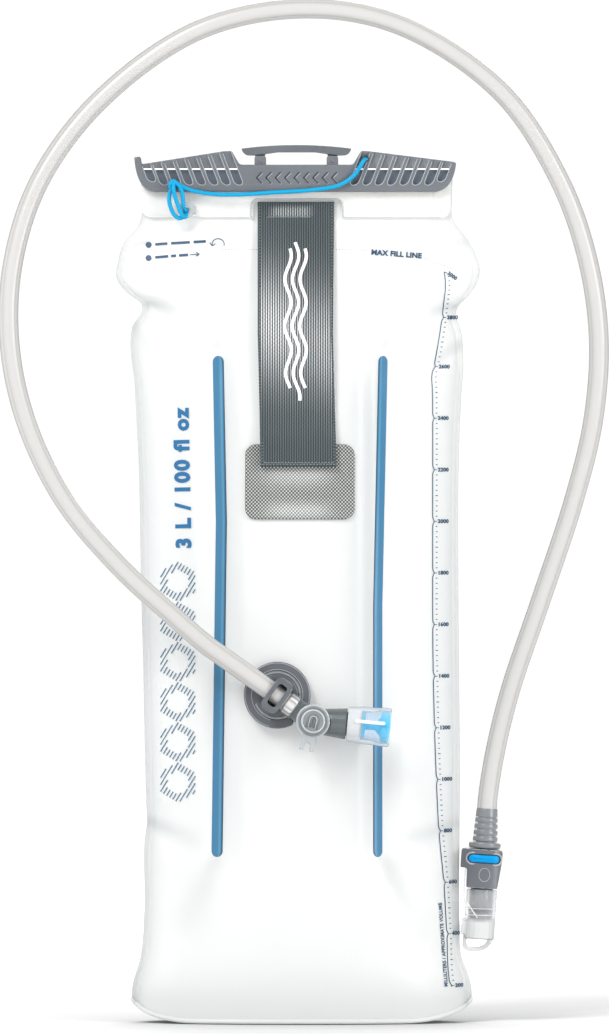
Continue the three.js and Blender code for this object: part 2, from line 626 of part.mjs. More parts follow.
// The clear port: socket, weld fin in the bag's side seam, guide rail for the lobe, and a finger loop.
function sidePort() {
  const { mouth, outer, bore, floor } = SOCKET;
  const socket = rod("z", outer, floor - 1.6, mouth);
  const fin = new THREE.Shape();
  fin.moveTo(-19.5, 0);
  fin.quadraticCurveTo(-12.5, 3.4, -6, 3.4);
  fin.lineTo(-6, -3.4);
  fin.quadraticCurveTo(-12.5, -3.4, -19.5, 0);
  const finSolid = new THREE.ExtrudeGeometry(fin, { depth: 15, bevelEnabled: false, curveSegments: 6 });
  finSolid.translate(0, 0, floor);
  const rail = box(-9.9, -8.1, -2.4, 2.4, -8.5, 9);
  const web = box(-9.9, -6, -2.4, 2.4, floor + 1, -7);
  const loop = new THREE.Shape();
  loop.moveTo(-7.4, floor + 1);
  loop.lineTo(-7.7, -28);
  loop.quadraticCurveTo(-7, -30.6, -2, -30.6);
  loop.quadraticCurveTo(6.8, -30.2, 7.2, floor + 1);
  const hole = new THREE.Path();
  hole.moveTo(-5.9, -24.6);
  hole.lineTo(4.4, -24.6);
  hole.quadraticCurveTo(3, -28.2, -1, -28.4);
  hole.lineTo(-4.6, -28.4);
  hole.quadraticCurveTo(-5.9, -28.2, -5.9, -24.6);
  loop.holes.push(hole);
  const body = join(socket, finSolid, rail, web, slabXZ(loop, -1.6, 1.6, 6));
  const socketBore = rod("z", bore, -15.4, mouth + 2);
  const seat = rod("z", 3.3, -17.2, -15);
  const chamber = rod("z", 4.9, floor, -16.9);
  const passage = rod("x", 1.7, -22, 0, 16).translate(0, 0, -20.2);
  const lobeRoom = box(-8.3, 12, -4, 4, mouth, 12);
  return cut(body, socketBore, seat, chamber, passage, lobeRoom);
}

const portPoppet = () => turned("z", [[0, -20.4], [1, -20.4], [1, -19.2], [4.3, -19.2], [4.3, -18.2], [3, -17.9], [0, -17.9]]);
const portSpring = () => spring(2.4, 0.3, 2.1, 3).translate(0, 0, -22);

// ---------------------------------------------------------------- bite valve, on the tube's axis, the tube at -X

const CORE = { radius: 5.3, front: -5.2, back: 3.7 };
const SPIGOT = { start: 15.9, end: 22.8, radius: 5.6 };

function valveBody() {
  const hub = rod("y", 8, -5.5, 5.5, 28);
  const neck = rod("x", 5.3, -TUBE_END + GAP, 0);
  const barb = turned("x", [[0, -24], [2.3, -24], [BARB_RADIUS, -22], [BARB_RADIUS, 0], [0, 0]]);
  const cone = rod("x", 5.8, 0, SPIGOT.start, 20, 7.5).rotateY(OUTLET_TURN);
  const spigot = rod("x", SPIGOT.radius, 10, SPIGOT.end).rotateY(OUTLET_TURN);
  const chamber = rod("y", CORE.radius + GAP, -9, CORE.back + GAP);
  const knobRoom = rod("y", 8 + GAP, -9, -5.5, 28);
  const inlet = rod("x", 1.9, -26, 0, 16);
  const outlet = rod("x", 2.9, 0, 26, 16).rotateY(OUTLET_TURN);
  return cut(join(hub, neck, barb, cone, spigot), chamber, knobRoom, inlet, outlet);
}

// The turning core of the shut-off, closed at rest: its passage lies across the flow.
function shutoffCore() {
  const { radius, front, back } = CORE;
  const groove = 4.2;
  const body = turned("y", [
    [0, front], [radius, front], [radius, -4.4], [groove, -4.4], [groove, -2.9], [radius, -2.9],
    [radius, back], [0, back],
  ]);
  const socket = rod("y", 2.7, front - 1, -1.6, 18);
  const passage = rod("x", 1.9, -8, 8, 16).translate(0, 1.2, 0).rotateY(Math.PI / 2 + OUTLET_TURN / 2);
  return cut(body, socket, passage);
}

// The clear knob and its forked lever.
function shutoffLever() {
  const knob = turned("y", [[0, -8.2], [5.4, -8.2], [7.4, -7.6], [8, -6.6], [8, -5.8], [2.4, -5.8], [2.4, -2], [0, -2]]);
  const arm = new THREE.Shape();
  arm.moveTo(-3.3, -5);
  arm.lineTo(-3.5, -14.4);
  arm.lineTo(-1.5, -14.4);
  arm.lineTo(-0.9, -10.6);
  arm.lineTo(0.9, -10.6);
  arm.lineTo(1.5, -14.4);
  arm.lineTo(3.5, -14.4);
  arm.lineTo(3.3, -5);
  return join(knob, slabXZ(arm, -7.7, -5.9).rotateY(LEVER_ANGLE));
}

// The blue plug that closes the mouthpiece, on a stem with a drilled flange.
function bitePlug() {
  const plug = turned("x", [
    [0, 19.5], [2.5, 19.5], [2.5, 23.1], [6.5, 23.1], [6.5, 24.8], [2, 24.8], [1.8, 29.6], [4.6, 32],
    [7.4, 32.4], [7.6, 35.8], [6.2, 36.6], [0, 36.9],
  ]);
  const holes = [0, 1, 2, 3].map((n) =>
    rod("x", 1.1, 22, 26, 10).translate(0, 4.2, 0).rotateX((n * Math.PI) / 2));
  return cut(plug, ...holes);
}

function biteSheath() {
  return turned("x", [
    [SPIGOT.radius + GAP, 16.3], [8.2, 16.3], [9, 23.5], [9, 30], [9.3, 33], [9.3, 36.4], [8.8, 37],
    [8, 37], [7.9, 31.6], [7, 28], [6.9, 22.9], [SPIGOT.radius + GAP, 22.6], [SPIGOT.radius + GAP, 16.3],
  ], 24);
}

// ---------------------------------------------------------------- tube clip

function clipCollar() {
  const halfLength = 4.5;
  const face = roundedRectangle(-halfLength, halfLength, -9, 9, 3.4);
  const section = roundedRectangle(-6.6, 6.6, -9, 9, 5);
  const band = common(slabXZ(face, -7, 7, 4), slabYZ(section, -halfLength - 1, halfLength + 1, 4));
  const bore = rod("x", TUBE_RADIUS + GAP, -8, 8);
  const window = slabXZ(roundedRectangle(-2.3, 2.3, -5.7, 5.7, 1.4), -9, 0, 3);
  const stud = rod("y", 3.2, 5.6, 9.1, 20);
  return cut(join(band, stud), bore, window);
}

// The hook that hangs on a strap: a disc on the collar's stud and an open ring round it.
function clipHook() {
  const ringInner = 11.6;
  const ringOuter = 16;
  const middle = (ringInner + ringOuter) / 2;
  const tip = THREE.MathUtils.degToRad(-15);
  const tail = THREE.MathUtils.degToRad(294);
  const arm = new THREE.Shape();
  arm.absarc(0, 0, ringOuter, tip, tail, false);
  arm.absarc(middle * Math.cos(tail), middle * Math.sin(tail), ringOuter - middle, tail, tail + Math.PI, false);
  arm.absarc(0, 0, ringInner, tail, tip, true);
  arm.absarc(middle * Math.cos(tip), middle * Math.sin(tip), ringOuter - middle, tip + Math.PI, tip + Math.PI * 2, false);
  const hook = slabXZ(arm, 6.9, 10.2, 14);
  const disc = rod("y", 10, 6.9, 10.2, 28);
  const bridge = box(-13, -5, 6.9, 10.2, -4, 6);
  const socket = rod("y", 3.5, 6, 9.4, 20);
  return cut(join(hook, disc, bridge), socket);
}

// ---------------------------------------------------------------- assembly

const reservoir = new THREE.Group();

function add(group, name, geometry, material) {
  const mesh = new THREE.Mesh(geometry, material);
  mesh.name = name;
  group.add(mesh);
  return mesh;
}

const plugGroup = new THREE.Group();
plugGroup.position.copy(PLUG_ORIGIN);
plugGroup.rotation.y = PLUG_TILT;
reservoir.add(plugGroup);

const valveGroup = new THREE.Group();
valveGroup.position.copy(HUB);
valveGroup.rotation.y = TUBE_PITCH;
reservoir.add(valveGroup);

const outletGroup = new THREE.Group();
outletGroup.rotation.y = OUTLET_TURN;
valveGroup.add(outletGroup);

const clipGroup = new THREE.Group();
clipGroup.position.x = -COLLAR_CENTRE;
valveGroup.add(clipGroup);

// The port's fin takes the place of the seam beside it.
const finRoom = box(-24, -5.6, -3.8, 3.8, SOCKET.floor - GAP, -7.2);
finRoom.rotateY(PLUG_TILT).translate(PLUG_ORIGIN.x, PLUG_ORIGIN.y, PLUG_ORIGIN.z);

add(reservoir, "front_panel", cut(bagPanel(-1), finRoom), FILM_WHITE);
add(reservoir, "back_panel", cut(bagPanel(1), finRoom), FILM_WHITE);
add(reservoir, "base_panel", basePanel(), FILM_WHITE);
add(reservoir, "baffle_left", baffle(-1), BLUE_FABRIC);
add(reservoir, "baffle_right", baffle(1), BLUE_FABRIC);
add(reservoir, "strap_patch", strapPatch(), WEBBING);
add(reservoir, "webbing_strap", webbingStrap(), WEBBING);
add(reservoir, "collar_strip", collarStrip(), FROSTED);
add(reservoir, "mouth_flap", mouthFlap(), FILM_WHITE);
add(reservoir, "mouth_rail_inner", mouthRail(0), FROSTED);
add(reservoir, "mouth_rail_outer", mouthRail(1), FROSTED);
add(reservoir, "lanyard_tab", lanyardTab(), CLEAR);
add(reservoir, "lanyard_cord", lanyard(), CORD_BLUE);

add(reservoir, "slide_bar", slideBar(), GREY_PLASTIC);
add(reservoir, "carry_handle", carryHandle(), GREY_PLASTIC);
add(reservoir, "handle_pin_left", handlePin(-1), STEEL);
add(reservoir, "handle_pin_right", handlePin(1), STEEL);

add(plugGroup, "side_port", sidePort(), CLEAR);
add(plugGroup, "port_poppet", portPoppet(), GREY_PLASTIC);
add(plugGroup, "port_spring", portSpring(), STEEL);
add(plugGroup, "plug_barrel", plugBarrel(), DARK_PLASTIC);
add(plugGroup, "plug_o_ring", oRing("z", 5.1, 0.6, -10.95), RUBBER);
add(plugGroup, "connector_body", connectorBody(), GREY_PLASTIC);
add(plugGroup, "release_button", releaseButton(), BUTTON_BLUE);
add(plugGroup, "button_spring_left", buttonSpring(-1), STEEL);
add(plugGroup, "button_spring_right", buttonSpring(1), STEEL);
add(plugGroup, "strain_relief", strainRelief(), GREY_PLASTIC);

add(reservoir, "tube_arch", tubeArch(), TUBE_CLEAR);
add(reservoir, "tube_tail", tubeTail(), TUBE_CLEAR);

add(valveGroup, "valve_body", valveBody(), DARK_PLASTIC);
add(valveGroup, "shutoff_core", shutoffCore(), DARK_PLASTIC);
add(valveGroup, "core_o_ring", oRing("y", 4.85, 0.45, -3.65), RUBBER);
add(valveGroup, "shutoff_lever", shutoffLever(), CLEAR);
add(outletGroup, "bite_plug", bitePlug(), VALVE_BLUE);
add(outletGroup, "bite_sheath", biteSheath(), CLEAR);

add(clipGroup, "clip_collar", clipCollar(), GREY_PLASTIC);
add(clipGroup, "clip_hook", clipHook(), GREY_PLASTIC).rotation.y = -TUBE_PITCH;

export default reservoir;
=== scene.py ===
"""Looks for the hydration bladder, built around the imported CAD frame. Lengths are in millimetres until a
mesh is made; then they are metres. The front faces -Y, and the base stands on Z = 0."""

import json
import math

import bmesh
import bpy
import numpy as np
from mathutils import Matrix, Vector

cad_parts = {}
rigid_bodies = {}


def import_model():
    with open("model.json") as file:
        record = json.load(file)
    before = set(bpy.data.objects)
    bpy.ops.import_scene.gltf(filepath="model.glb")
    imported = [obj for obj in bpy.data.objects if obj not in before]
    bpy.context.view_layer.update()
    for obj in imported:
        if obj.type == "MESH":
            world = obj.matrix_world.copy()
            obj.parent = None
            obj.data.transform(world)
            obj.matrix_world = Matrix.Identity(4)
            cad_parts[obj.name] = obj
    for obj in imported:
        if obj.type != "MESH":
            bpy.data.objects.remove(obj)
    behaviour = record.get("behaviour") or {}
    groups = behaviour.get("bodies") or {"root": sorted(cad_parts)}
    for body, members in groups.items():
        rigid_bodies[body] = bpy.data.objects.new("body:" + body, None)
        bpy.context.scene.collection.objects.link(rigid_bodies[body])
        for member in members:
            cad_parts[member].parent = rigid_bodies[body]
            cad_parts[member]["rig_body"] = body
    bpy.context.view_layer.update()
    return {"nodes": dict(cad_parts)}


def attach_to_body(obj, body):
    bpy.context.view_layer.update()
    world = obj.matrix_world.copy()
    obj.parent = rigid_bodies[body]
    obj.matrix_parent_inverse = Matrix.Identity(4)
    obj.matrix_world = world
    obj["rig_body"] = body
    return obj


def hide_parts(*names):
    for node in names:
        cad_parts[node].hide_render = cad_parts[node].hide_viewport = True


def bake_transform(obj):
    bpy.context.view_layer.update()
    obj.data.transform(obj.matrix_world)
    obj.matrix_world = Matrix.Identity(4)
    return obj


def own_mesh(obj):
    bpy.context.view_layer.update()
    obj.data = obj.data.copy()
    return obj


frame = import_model()

MM = 0.001

# ---------------------------------------------------------------- driving sizes

SEAM_FACE = 0.9  # half thickness of the two films pressed flat
SEAM_WIDTH = 3.0
NECK_TOP = 408.0
NECK_BOTTOM = 385.4
FILM_WALL = 0.5
PRINT_LIFT = 0.42
MERGE_GAP = 0.004  # vertices nearer than this become one
CORNER_Z = 12  # height at which the bag is as wide as its foot

# Outline of the bag, seam included, as (height, x).
LEFT_EDGE = [
    (0, -80.5), (9, -80.2), (16, -80.3), (31, -76.4), (56, -74.4), (88, -74.2), (96, -73.2), (106, -73.6),
    (118, -73.9), (168, -75), (217, -76.2), (267, -77.2), (304, -79), (333, -80.4), (345.4, -76.4),
    (350, -82.5), (356.6, -87.6), (365, -87), (373.9, -84.2), (381.4, -77.6), (388, -75.6), (408, -75.4),
]
RIGHT_EDGE = [
    (0, 82), (9, 82.2), (15, 82.6), (22, 81.2), (31, 77.9), (49, 76.8), (88, 76.8), (118, 77), (168, 76.6),
    (217, 76.2), (267, 76.4), (300, 77.6), (314, 78.6), (329, 78), (343.7, 76.3), (349, 81.4), (359, 86.4),
    (367, 85), (375.4, 80.6), (385, 73.6), (395, 73.2), (408, 73.6),
]
HALF_DEPTHS = [
    (0, 32), (35, 35.5), (110, 36.5), (240, 34.5), (300, 29), (340, 19.5), (365, 10), (380, 3.2),
    (NECK_BOTTOM, SEAM_FACE), (NECK_TOP, SEAM_FACE),
]
BASE_FLAT = 50.0
BASE_RISE = 13.0

BAFFLE_X = 37.7
BAFFLE_LEAN = 9.0
BAFFLE_Z = (80.0, 319.5)
BAFFLE_DIP = 4.5
BAFFLE_REACH = 7.0

# Creases in the film as (x0, z0, x1, z1, half width, height); height below 0 is a valley.
CREASES = [
    (-75, 345, -52, 338, 3.2, -2.4), (-76, 347, -58, 352, 3.0, 1.8), (-75, 343, -60, 326, 3.4, 1.5),
    (-84, 362, -62, 366, 4.0, 1.4), (-80, 372, -54, 378, 3.6, -1.3), (-80, 336, -70, 318, 3.0, -1.1),
    (75, 344, 54, 336, 3.2, -2.4), (76, 347, 60, 354, 3.0, 1.8), (75, 342, 62, 322, 3.4, 1.5),
    (84, 362, 62, 366, 4.0, 1.4), (80, 373, 56, 379, 3.6, -1.3), (78, 326, 58, 310, 3.4, -1.6),
    (77, 320, 64, 300, 3.0, 1.0), (-73, 97, -45, 84, 3.6, -2.0), (-73, 104, -52, 112, 4.0, 1.2),
    (-73, 88, -58, 70, 4.0, 1.2), (76, 96, 46, 84, 3.6, -1.6), (76, 104, 56, 116, 4.0, 1.0),
    (76, 84, 60, 66, 4.0, 1.0), (-40, 322, -52, 350, 4.0, -1.2), (40, 322, 54, 352, 4.0, -1.2),
    (-40, 78, -56, 40, 6.0, -1.4), (40, 78, 58, 36, 6.0, -1.4), (-24, 376, -34, 340, 5.0, 0.9),
    (26, 376, 36, 340, 5.0, 0.9),
]

STRAP_HALF = 18.2
STRAP_Z = (266.4, 393.6)
STRAP_THICK = 1.3
PATCH = {"x": 0.2, "half": 26.0, "z": (241.3, 277.0), "corner": 5.0}

TUBE_RADIUS = 4.75
TUBE_BORE = 3.2
PLUG_ORIGIN = np.array([87.6, 0, 64.3])
PLUG_TILT = math.radians(3.7)
HUB = np.array([6.5, -49, 145.3])
TUBE_PITCH = math.radians(35.5)
TUBE_LOOP = [
    (94.1, -0.2, 130.6), (101.2, -1.2, 159.4), (115.8, -3.2, 202.6), (131.6, -6, 250.6), (140.8, -8.5, 289),
    (143.4, -10.5, 327.4), (138, -12, 365.8), (124.3, -13.2, 404.2), (96.2, -13.9, 446.2), (48.2, -14, 477.8),
    (2.2, -14, 485.8), (-47.8, -14.6, 475.7), (-94.8, -16.5, 442.6), (-123.8, -19.8, 404.2),
    (-136.6, -24.2, 365.8), (-138.6, -29.2, 327.4), (-130.8, -35.2, 289), (-112.4, -41.2, 250.6),
    (-86.2, -46, 219.2), (-60.5, -48.6, 195.5),
]

CORD_RADIUS = 1.0
CORD_HOLE = (31.7, 414.2)


# ---------------------------------------------------------------- curves and numbers

def through(points, samples=1200):
    """A smooth function through (position, value) pairs, as a fine lookup."""
    at = np.array([p[0] for p in points], float)
    value = np.array([p[1] for p in points], float)
    slope = np.gradient(value, at)
    fine = np.linspace(at[0], at[-1], samples)
    i = np.clip(np.searchsorted(at, fine, side="right") - 1, 0, len(at) - 2)
    span = at[i + 1] - at[i]
    s = (fine - at[i]) / span
    rise = value[i + 1] - value[i]
    c = slope[i] * span - rise
    d = rise - slope[i + 1] * span
    smooth_value = value[i] + s * rise + s * (1 - s) * (c * (1 - s) + d * s)
    return lambda x: np.interp(x, fine, smooth_value)


def smoothstep(low, high, x):
    t = np.clip((np.asarray(x, float) - low) / (high - low), 0, 1)
    return t * t * (3 - 2 * t)


def spline(points, count, closed=False):
    """Evenly spaced points on a Catmull-Rom curve with centripetal knots."""
    p = np.array(points, float)
    if closed:
        p = np.vstack([p[-1], p, p[0], p[1]])
    else:
        p = np.vstack([2 * p[0] - p[1], p, 2 * p[-1] - p[-2]])
    out = []
    for a, b, c, d in zip(p[:-3], p[1:-2], p[2:-1], p[3:]):
        t0 = 0.0
        t1 = t0 + np.linalg.norm(b - a) ** 0.5
        t2 = t1 + np.linalg.norm(c - b) ** 0.5
        t3 = t2 + np.linalg.norm(d - c) ** 0.5
        t = np.linspace(t1, t2, 40, endpoint=False)[:, None]
        ab = (t1 - t) / (t1 - t0) * a + (t - t0) / (t1 - t0) * b
        bc = (t2 - t) / (t2 - t1) * b + (t - t1) / (t2 - t1) * c
        cd = (t3 - t) / (t3 - t2) * c + (t - t2) / (t3 - t2) * d
        abc = (t2 - t) / (t2 - t0) * ab + (t - t0) / (t2 - t0) * bc
        bcd = (t3 - t) / (t3 - t1) * bc + (t - t1) / (t3 - t1) * cd
        out.append((t2 - t) / (t2 - t1) * abc + (t - t1) / (t2 - t1) * bcd)
    out.append(p[-2][None, :])
    dense = np.vstack(out)
    length = np.concatenate([[0], np.cumsum(np.linalg.norm(np.diff(dense, axis=0), axis=1))])
    even = np.linspace(0, length[-1], count)
    return np.stack([np.interp(even, length, dense[:, k]) for k in range(3)], axis=1)


left_edge = through(LEFT_EDGE)
right_edge = through(RIGHT_EDGE)
half_depth = through(HALF_DEPTHS)


def swell(share):
    return (1 - np.minimum(1, np.abs(share)) ** 2.5) ** 0.62


def base_height(x):
    """The bottom weld's height: level in the middle, turned up round the corners."""
    x = np.asarray(x, float)
    reach = np.where(x < 0, -left_edge(CORNER_Z), right_edge(CORNER_Z)) + 0.3
    past = np.clip((np.abs(x) - BASE_FLAT) / (reach - BASE_FLAT), 0, 1)
    return -0.1 + BASE_RISE * (1 - np.sqrt(1 - past ** 2))


def baffle_x(side):
    return BAFFLE_X - (BAFFLE_LEAN if side > 0 else 0)


def crease_height(x, z):
    total = np.zeros(np.broadcast(x, z).shape)
    for x0, z0, x1, z1, half, height in CREASES:
        run = np.array([x1 - x0, z1 - z0], float)
        t = ((x - x0) * run[0] + (z - z0) * run[1]) / (run @ run)
        near = np.clip(t, 0, 1)
        gap = np.hypot(x - x0 - near * run[0], z - z0 - near * run[1])
        spread = half * (0.7 + 0.9 * near)
        fade = (1 - near) ** 0.6 * smoothstep(-0.15, 0.1, t)
        total += height * fade * np.exp(-((gap / spread) ** 2))
    return total


def bag_width(z):
    """The bag's middle at a height, and half its width inside the seams."""
    left, right = left_edge(z), right_edge(z)
    return (left + right) / 2, (right - left) / 2 - SEAM_WIDTH


def film_depth(x, z, side=-1):
    """Distance of the outer film from the plane between the two films."""
    x, z = np.asarray(x, float), np.asarray(z, float)
    middle, half = bag_width(z)
    share = (x - middle) / half
    full = half_depth(z)
    low, high = BAFFLE_Z
    held = smoothstep(low - 25, low + 10, z) * (1 - smoothstep(high - 10, high + 25, z))
    dip = BAFFLE_DIP * held * np.exp(-(((np.abs(x) - baffle_x(side)) / BAFFLE_REACH) ** 2))
    dip = np.minimum(dip, (full - SEAM_FACE) * 0.6)
    room = np.clip((full - SEAM_FACE) / 6, 0, 1)
    folds = crease_height(x if side < 0 else -x, z) * room * np.minimum(1, swell(share) * 3)
    return SEAM_FACE + (full - SEAM_FACE) * swell(share) - dip * swell(share) + folds


# ---------------------------------------------------------------- mesh helpers

def add_object(name, data):
    """A new object in the scene that holds the data."""
    obj = bpy.data.objects.new(name, data)
    bpy.context.scene.collection.objects.link(obj)
    return obj


def attach(obj, body, slot, *nodes):
    """Makes a piece ride on a body and stand for the CAD nodes named; the slot is not used."""
    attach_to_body(obj, body)
    if nodes:
        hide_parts(*nodes)
    return obj


def piece(name, vertices, faces, material, smooth=True):
    """A mesh object from vertices in millimetres."""
    mesh = bpy.data.meshes.new(name)
    mesh.from_pydata((np.asarray(vertices, float) * MM).tolist(), [], [list(map(int, f)) for f in faces])
    mesh.update()
    if smooth:
        mesh.shade_smooth()
    if material:
        mesh.materials.append(material)
    return add_object(name, mesh)


def points_of(obj):
    """A mesh object's vertices, in millimetres."""
    return np.array([v.co for v in obj.data.vertices]) / MM


def move_points(obj, points):
    """Moves a mesh object's vertices to points in millimetres."""
    obj.data.vertices.foreach_set("co", (points * MM).ravel())
    obj.data.update()


def grid_faces(columns, rows, first=0, flip=False):
    """Quads of a grid of (columns + 1) by (rows + 1) vertices, row by row."""
    i, j = np.meshgrid(np.arange(columns), np.arange(rows))
    a = (j * (columns + 1) + i).ravel() + first
    quads = np.stack([a, a + 1, a + columns + 2, a + columns + 1], axis=1)
    return (quads[:, ::-1] if flip else quads).tolist()


def ring_faces(count, rows, first=0, flip=False):
    """Quads between closed rings of count vertices, ring after ring."""
    i, j = np.meshgrid(np.arange(count), np.arange(rows - 1))
    a, b = (first + j * count + i).ravel(), (first + j * count + (i + 1) % count).ravel()
    quads = np.stack([a, b, b + count, a + count], axis=1)
    return (quads[:, ::-1] if flip else quads).tolist()


def modify(obj, kind, name=None, **settings):
    modifier = obj.modifiers.new(name or kind.title(), kind)
    for key, value in settings.items():
        setattr(modifier, key, value)
    return modifier


def bake(obj):
    """Applies the modifiers by reading the evaluated mesh."""
    graph = bpy.context.evaluated_depsgraph_get()
    graph.update()
    mesh = bpy.data.meshes.new_from_object(obj.evaluated_get(graph), depsgraph=graph)
    obj.modifiers.clear()
    obj.data = mesh
    return obj


def solidify(obj, thickness, offset=0.0):
    """Gives a sheet its thickness: inwards when offset is -1, to both sides when it is 0."""
    modify(obj, "SOLIDIFY", thickness=thickness * MM, offset=offset)
    return bake(obj)


def merge_flat(mesh):
    """Merges doubled vertices and dissolves the edges inside flat faces."""
    work = bmesh.new()
    work.from_mesh(mesh)
    bmesh.ops.remove_doubles(work, verts=work.verts, dist=MERGE_GAP * MM)
    bmesh.ops.dissolve_limit(work, angle_limit=math.radians(1.0), verts=work.verts, edges=work.edges)
    work.to_mesh(mesh)
    work.free()


def sides_along(points):
    """Side and up at each point of a path, turning as little as possible."""
    tangent = np.gradient(points, axis=0)
    tangent /= np.linalg.norm(tangent, axis=1)[:, None]
    side = np.cross(tangent[0], [0, 1, 0.01])
    side /= np.linalg.norm(side)
    sides = []
    for t in tangent:
        side = side - (side @ t) * t
        side /= np.linalg.norm(side)
        sides.append(side)
    sides = np.array(sides)
    return sides, np.cross(tangent, sides)


def pipe(name, points, radius, material, bore=0.0, sides=24):
    """A round hose or cord along points; radius may differ from point to point."""
    points = np.asarray(points, float)
    side, up = sides_along(points)
    radii = np.broadcast_to(np.asarray(radius, float), (len(points),))
    angle = np.arange(sides) / sides * 2 * math.pi
    circle = np.cos(angle)[None, :, None] * side[:, None] + np.sin(angle)[None, :, None] * up[:, None]
    layers = [points[:, None] + circle * radii[:, None, None]]
    if bore:
        layers.append(points[:, None] + circle * bore)
    vertices = np.concatenate([layer.reshape(-1, 3) for layer in layers])
    rows = len(points)
    faces = ring_faces(sides, rows)
    last = (rows - 1) * sides
    if bore:
        inner = rows * sides
        faces += ring_faces(sides, rows, first=inner, flip=True)
        for i in range(sides):
            k = (i + 1) % sides
            faces.append([k, i, inner + i, inner + k])
            faces.append([last + i, last + k, inner + last + k, inner + last + i])
    else:
        faces.append(list(range(sides))[::-1])
        faces.append([last + i for i in range(sides)])
    return piece(name, vertices, faces, material)


def copy_of(node, material):
    """A copy of a CAD node's solid, in a material."""
    obj = add_object(node + "_shell", frame["nodes"][node].data.copy())
    obj.data.materials.clear()
    obj.data.materials.append(material)
    return obj


def refine(node, material, slot, bevel):
    """A finished copy of a CAD node: merged, flat faces dissolved, edges rounded, smooth where round."""
    obj = copy_of(node, material)
    merge_flat(obj.data)
    if bevel:
        modify(obj, "BEVEL", width=bevel * MM, segments=2, limit_method="ANGLE", angle_limit=math.radians(28),
               use_clamp_overlap=True, miter_outer="MITER_ARC")
        bake(obj)
    obj.data.shade_smooth()
    obj.data.set_sharp_from_angle(angle=math.radians(34))
    return attach(obj, frame["nodes"][node]["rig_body"], slot, node)


def soften(node, material, slot, voxel, rounds):
    """A finished copy of a CAD node with every edge rounded: remeshed finely, then smoothed."""
    obj = copy_of(node, material)
    modify(obj, "REMESH", mode="VOXEL", voxel_size=voxel * MM)
    modify(obj, "SMOOTH", factor=0.5, iterations=rounds)
    bake(obj)
    obj.data.shade_smooth()
    return attach(obj, frame["nodes"][node]["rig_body"], slot, node)


def slab(name, outline, y0, y1, material=None):
    """A closed solid from an outline of (x, z) points, between two depths."""
    outline = np.asarray(outline, float)
    count = len(outline)
    area = np.sum(outline[:, 0] * np.roll(outline[:, 1], -1) - np.roll(outline[:, 0], -1) * outline[:, 1])
    if area < 0:
        outline = outline[::-1]
    front = np.stack([outline[:, 0], np.full(count, y0), outline[:, 1]], axis=1)
    back = front + [0, y1 - y0, 0]
    ring = range(count)
    faces = [list(ring), [count + i for i in reversed(ring)]]
    faces += [[(i + 1) % count, i, count + i, count + (i + 1) % count] for i in ring]
    return piece(name, np.vstack([front, back]), faces, material, smooth=False)


def combine(obj, operation, tools):
    """Joins the tools to an object or cuts them from it, and removes them."""
    for tool in tools:
        modify(obj, "BOOLEAN", operation=operation, object=tool, solver="EXACT")
    bake(obj)
    for tool in tools:
        bpy.data.objects.remove(tool)
    return obj


def rounded(obj, width, segments=2, angle=30, edge_material=None):
    """Rounds an object's edges. The rounding takes a second material when one is given."""
    merge_flat(obj.data)
    settings = {}
    if edge_material:
        obj.data.materials.append(edge_material)
        settings["material"] = len(obj.data.materials) - 1
    modify(obj, "BEVEL", width=width * MM, segments=segments, limit_method="ANGLE",
           angle_limit=math.radians(angle), use_clamp_overlap=True, **settings)
    bake(obj)
    obj.data.shade_smooth()
    obj.data.set_sharp_from_angle(angle=math.radians(36))
    return obj


def turned(points, origin, turn):
    """Points given about an origin, turned about Y and set in place."""
    p = np.asarray(points, float)
    c, s = math.cos(turn), math.sin(turn)
    return np.stack([p[..., 0] * c + p[..., 2] * s, p[..., 1], -p[..., 0] * s + p[..., 2] * c],
                    axis=-1) + origin


# ---------------------------------------------------------------- materials

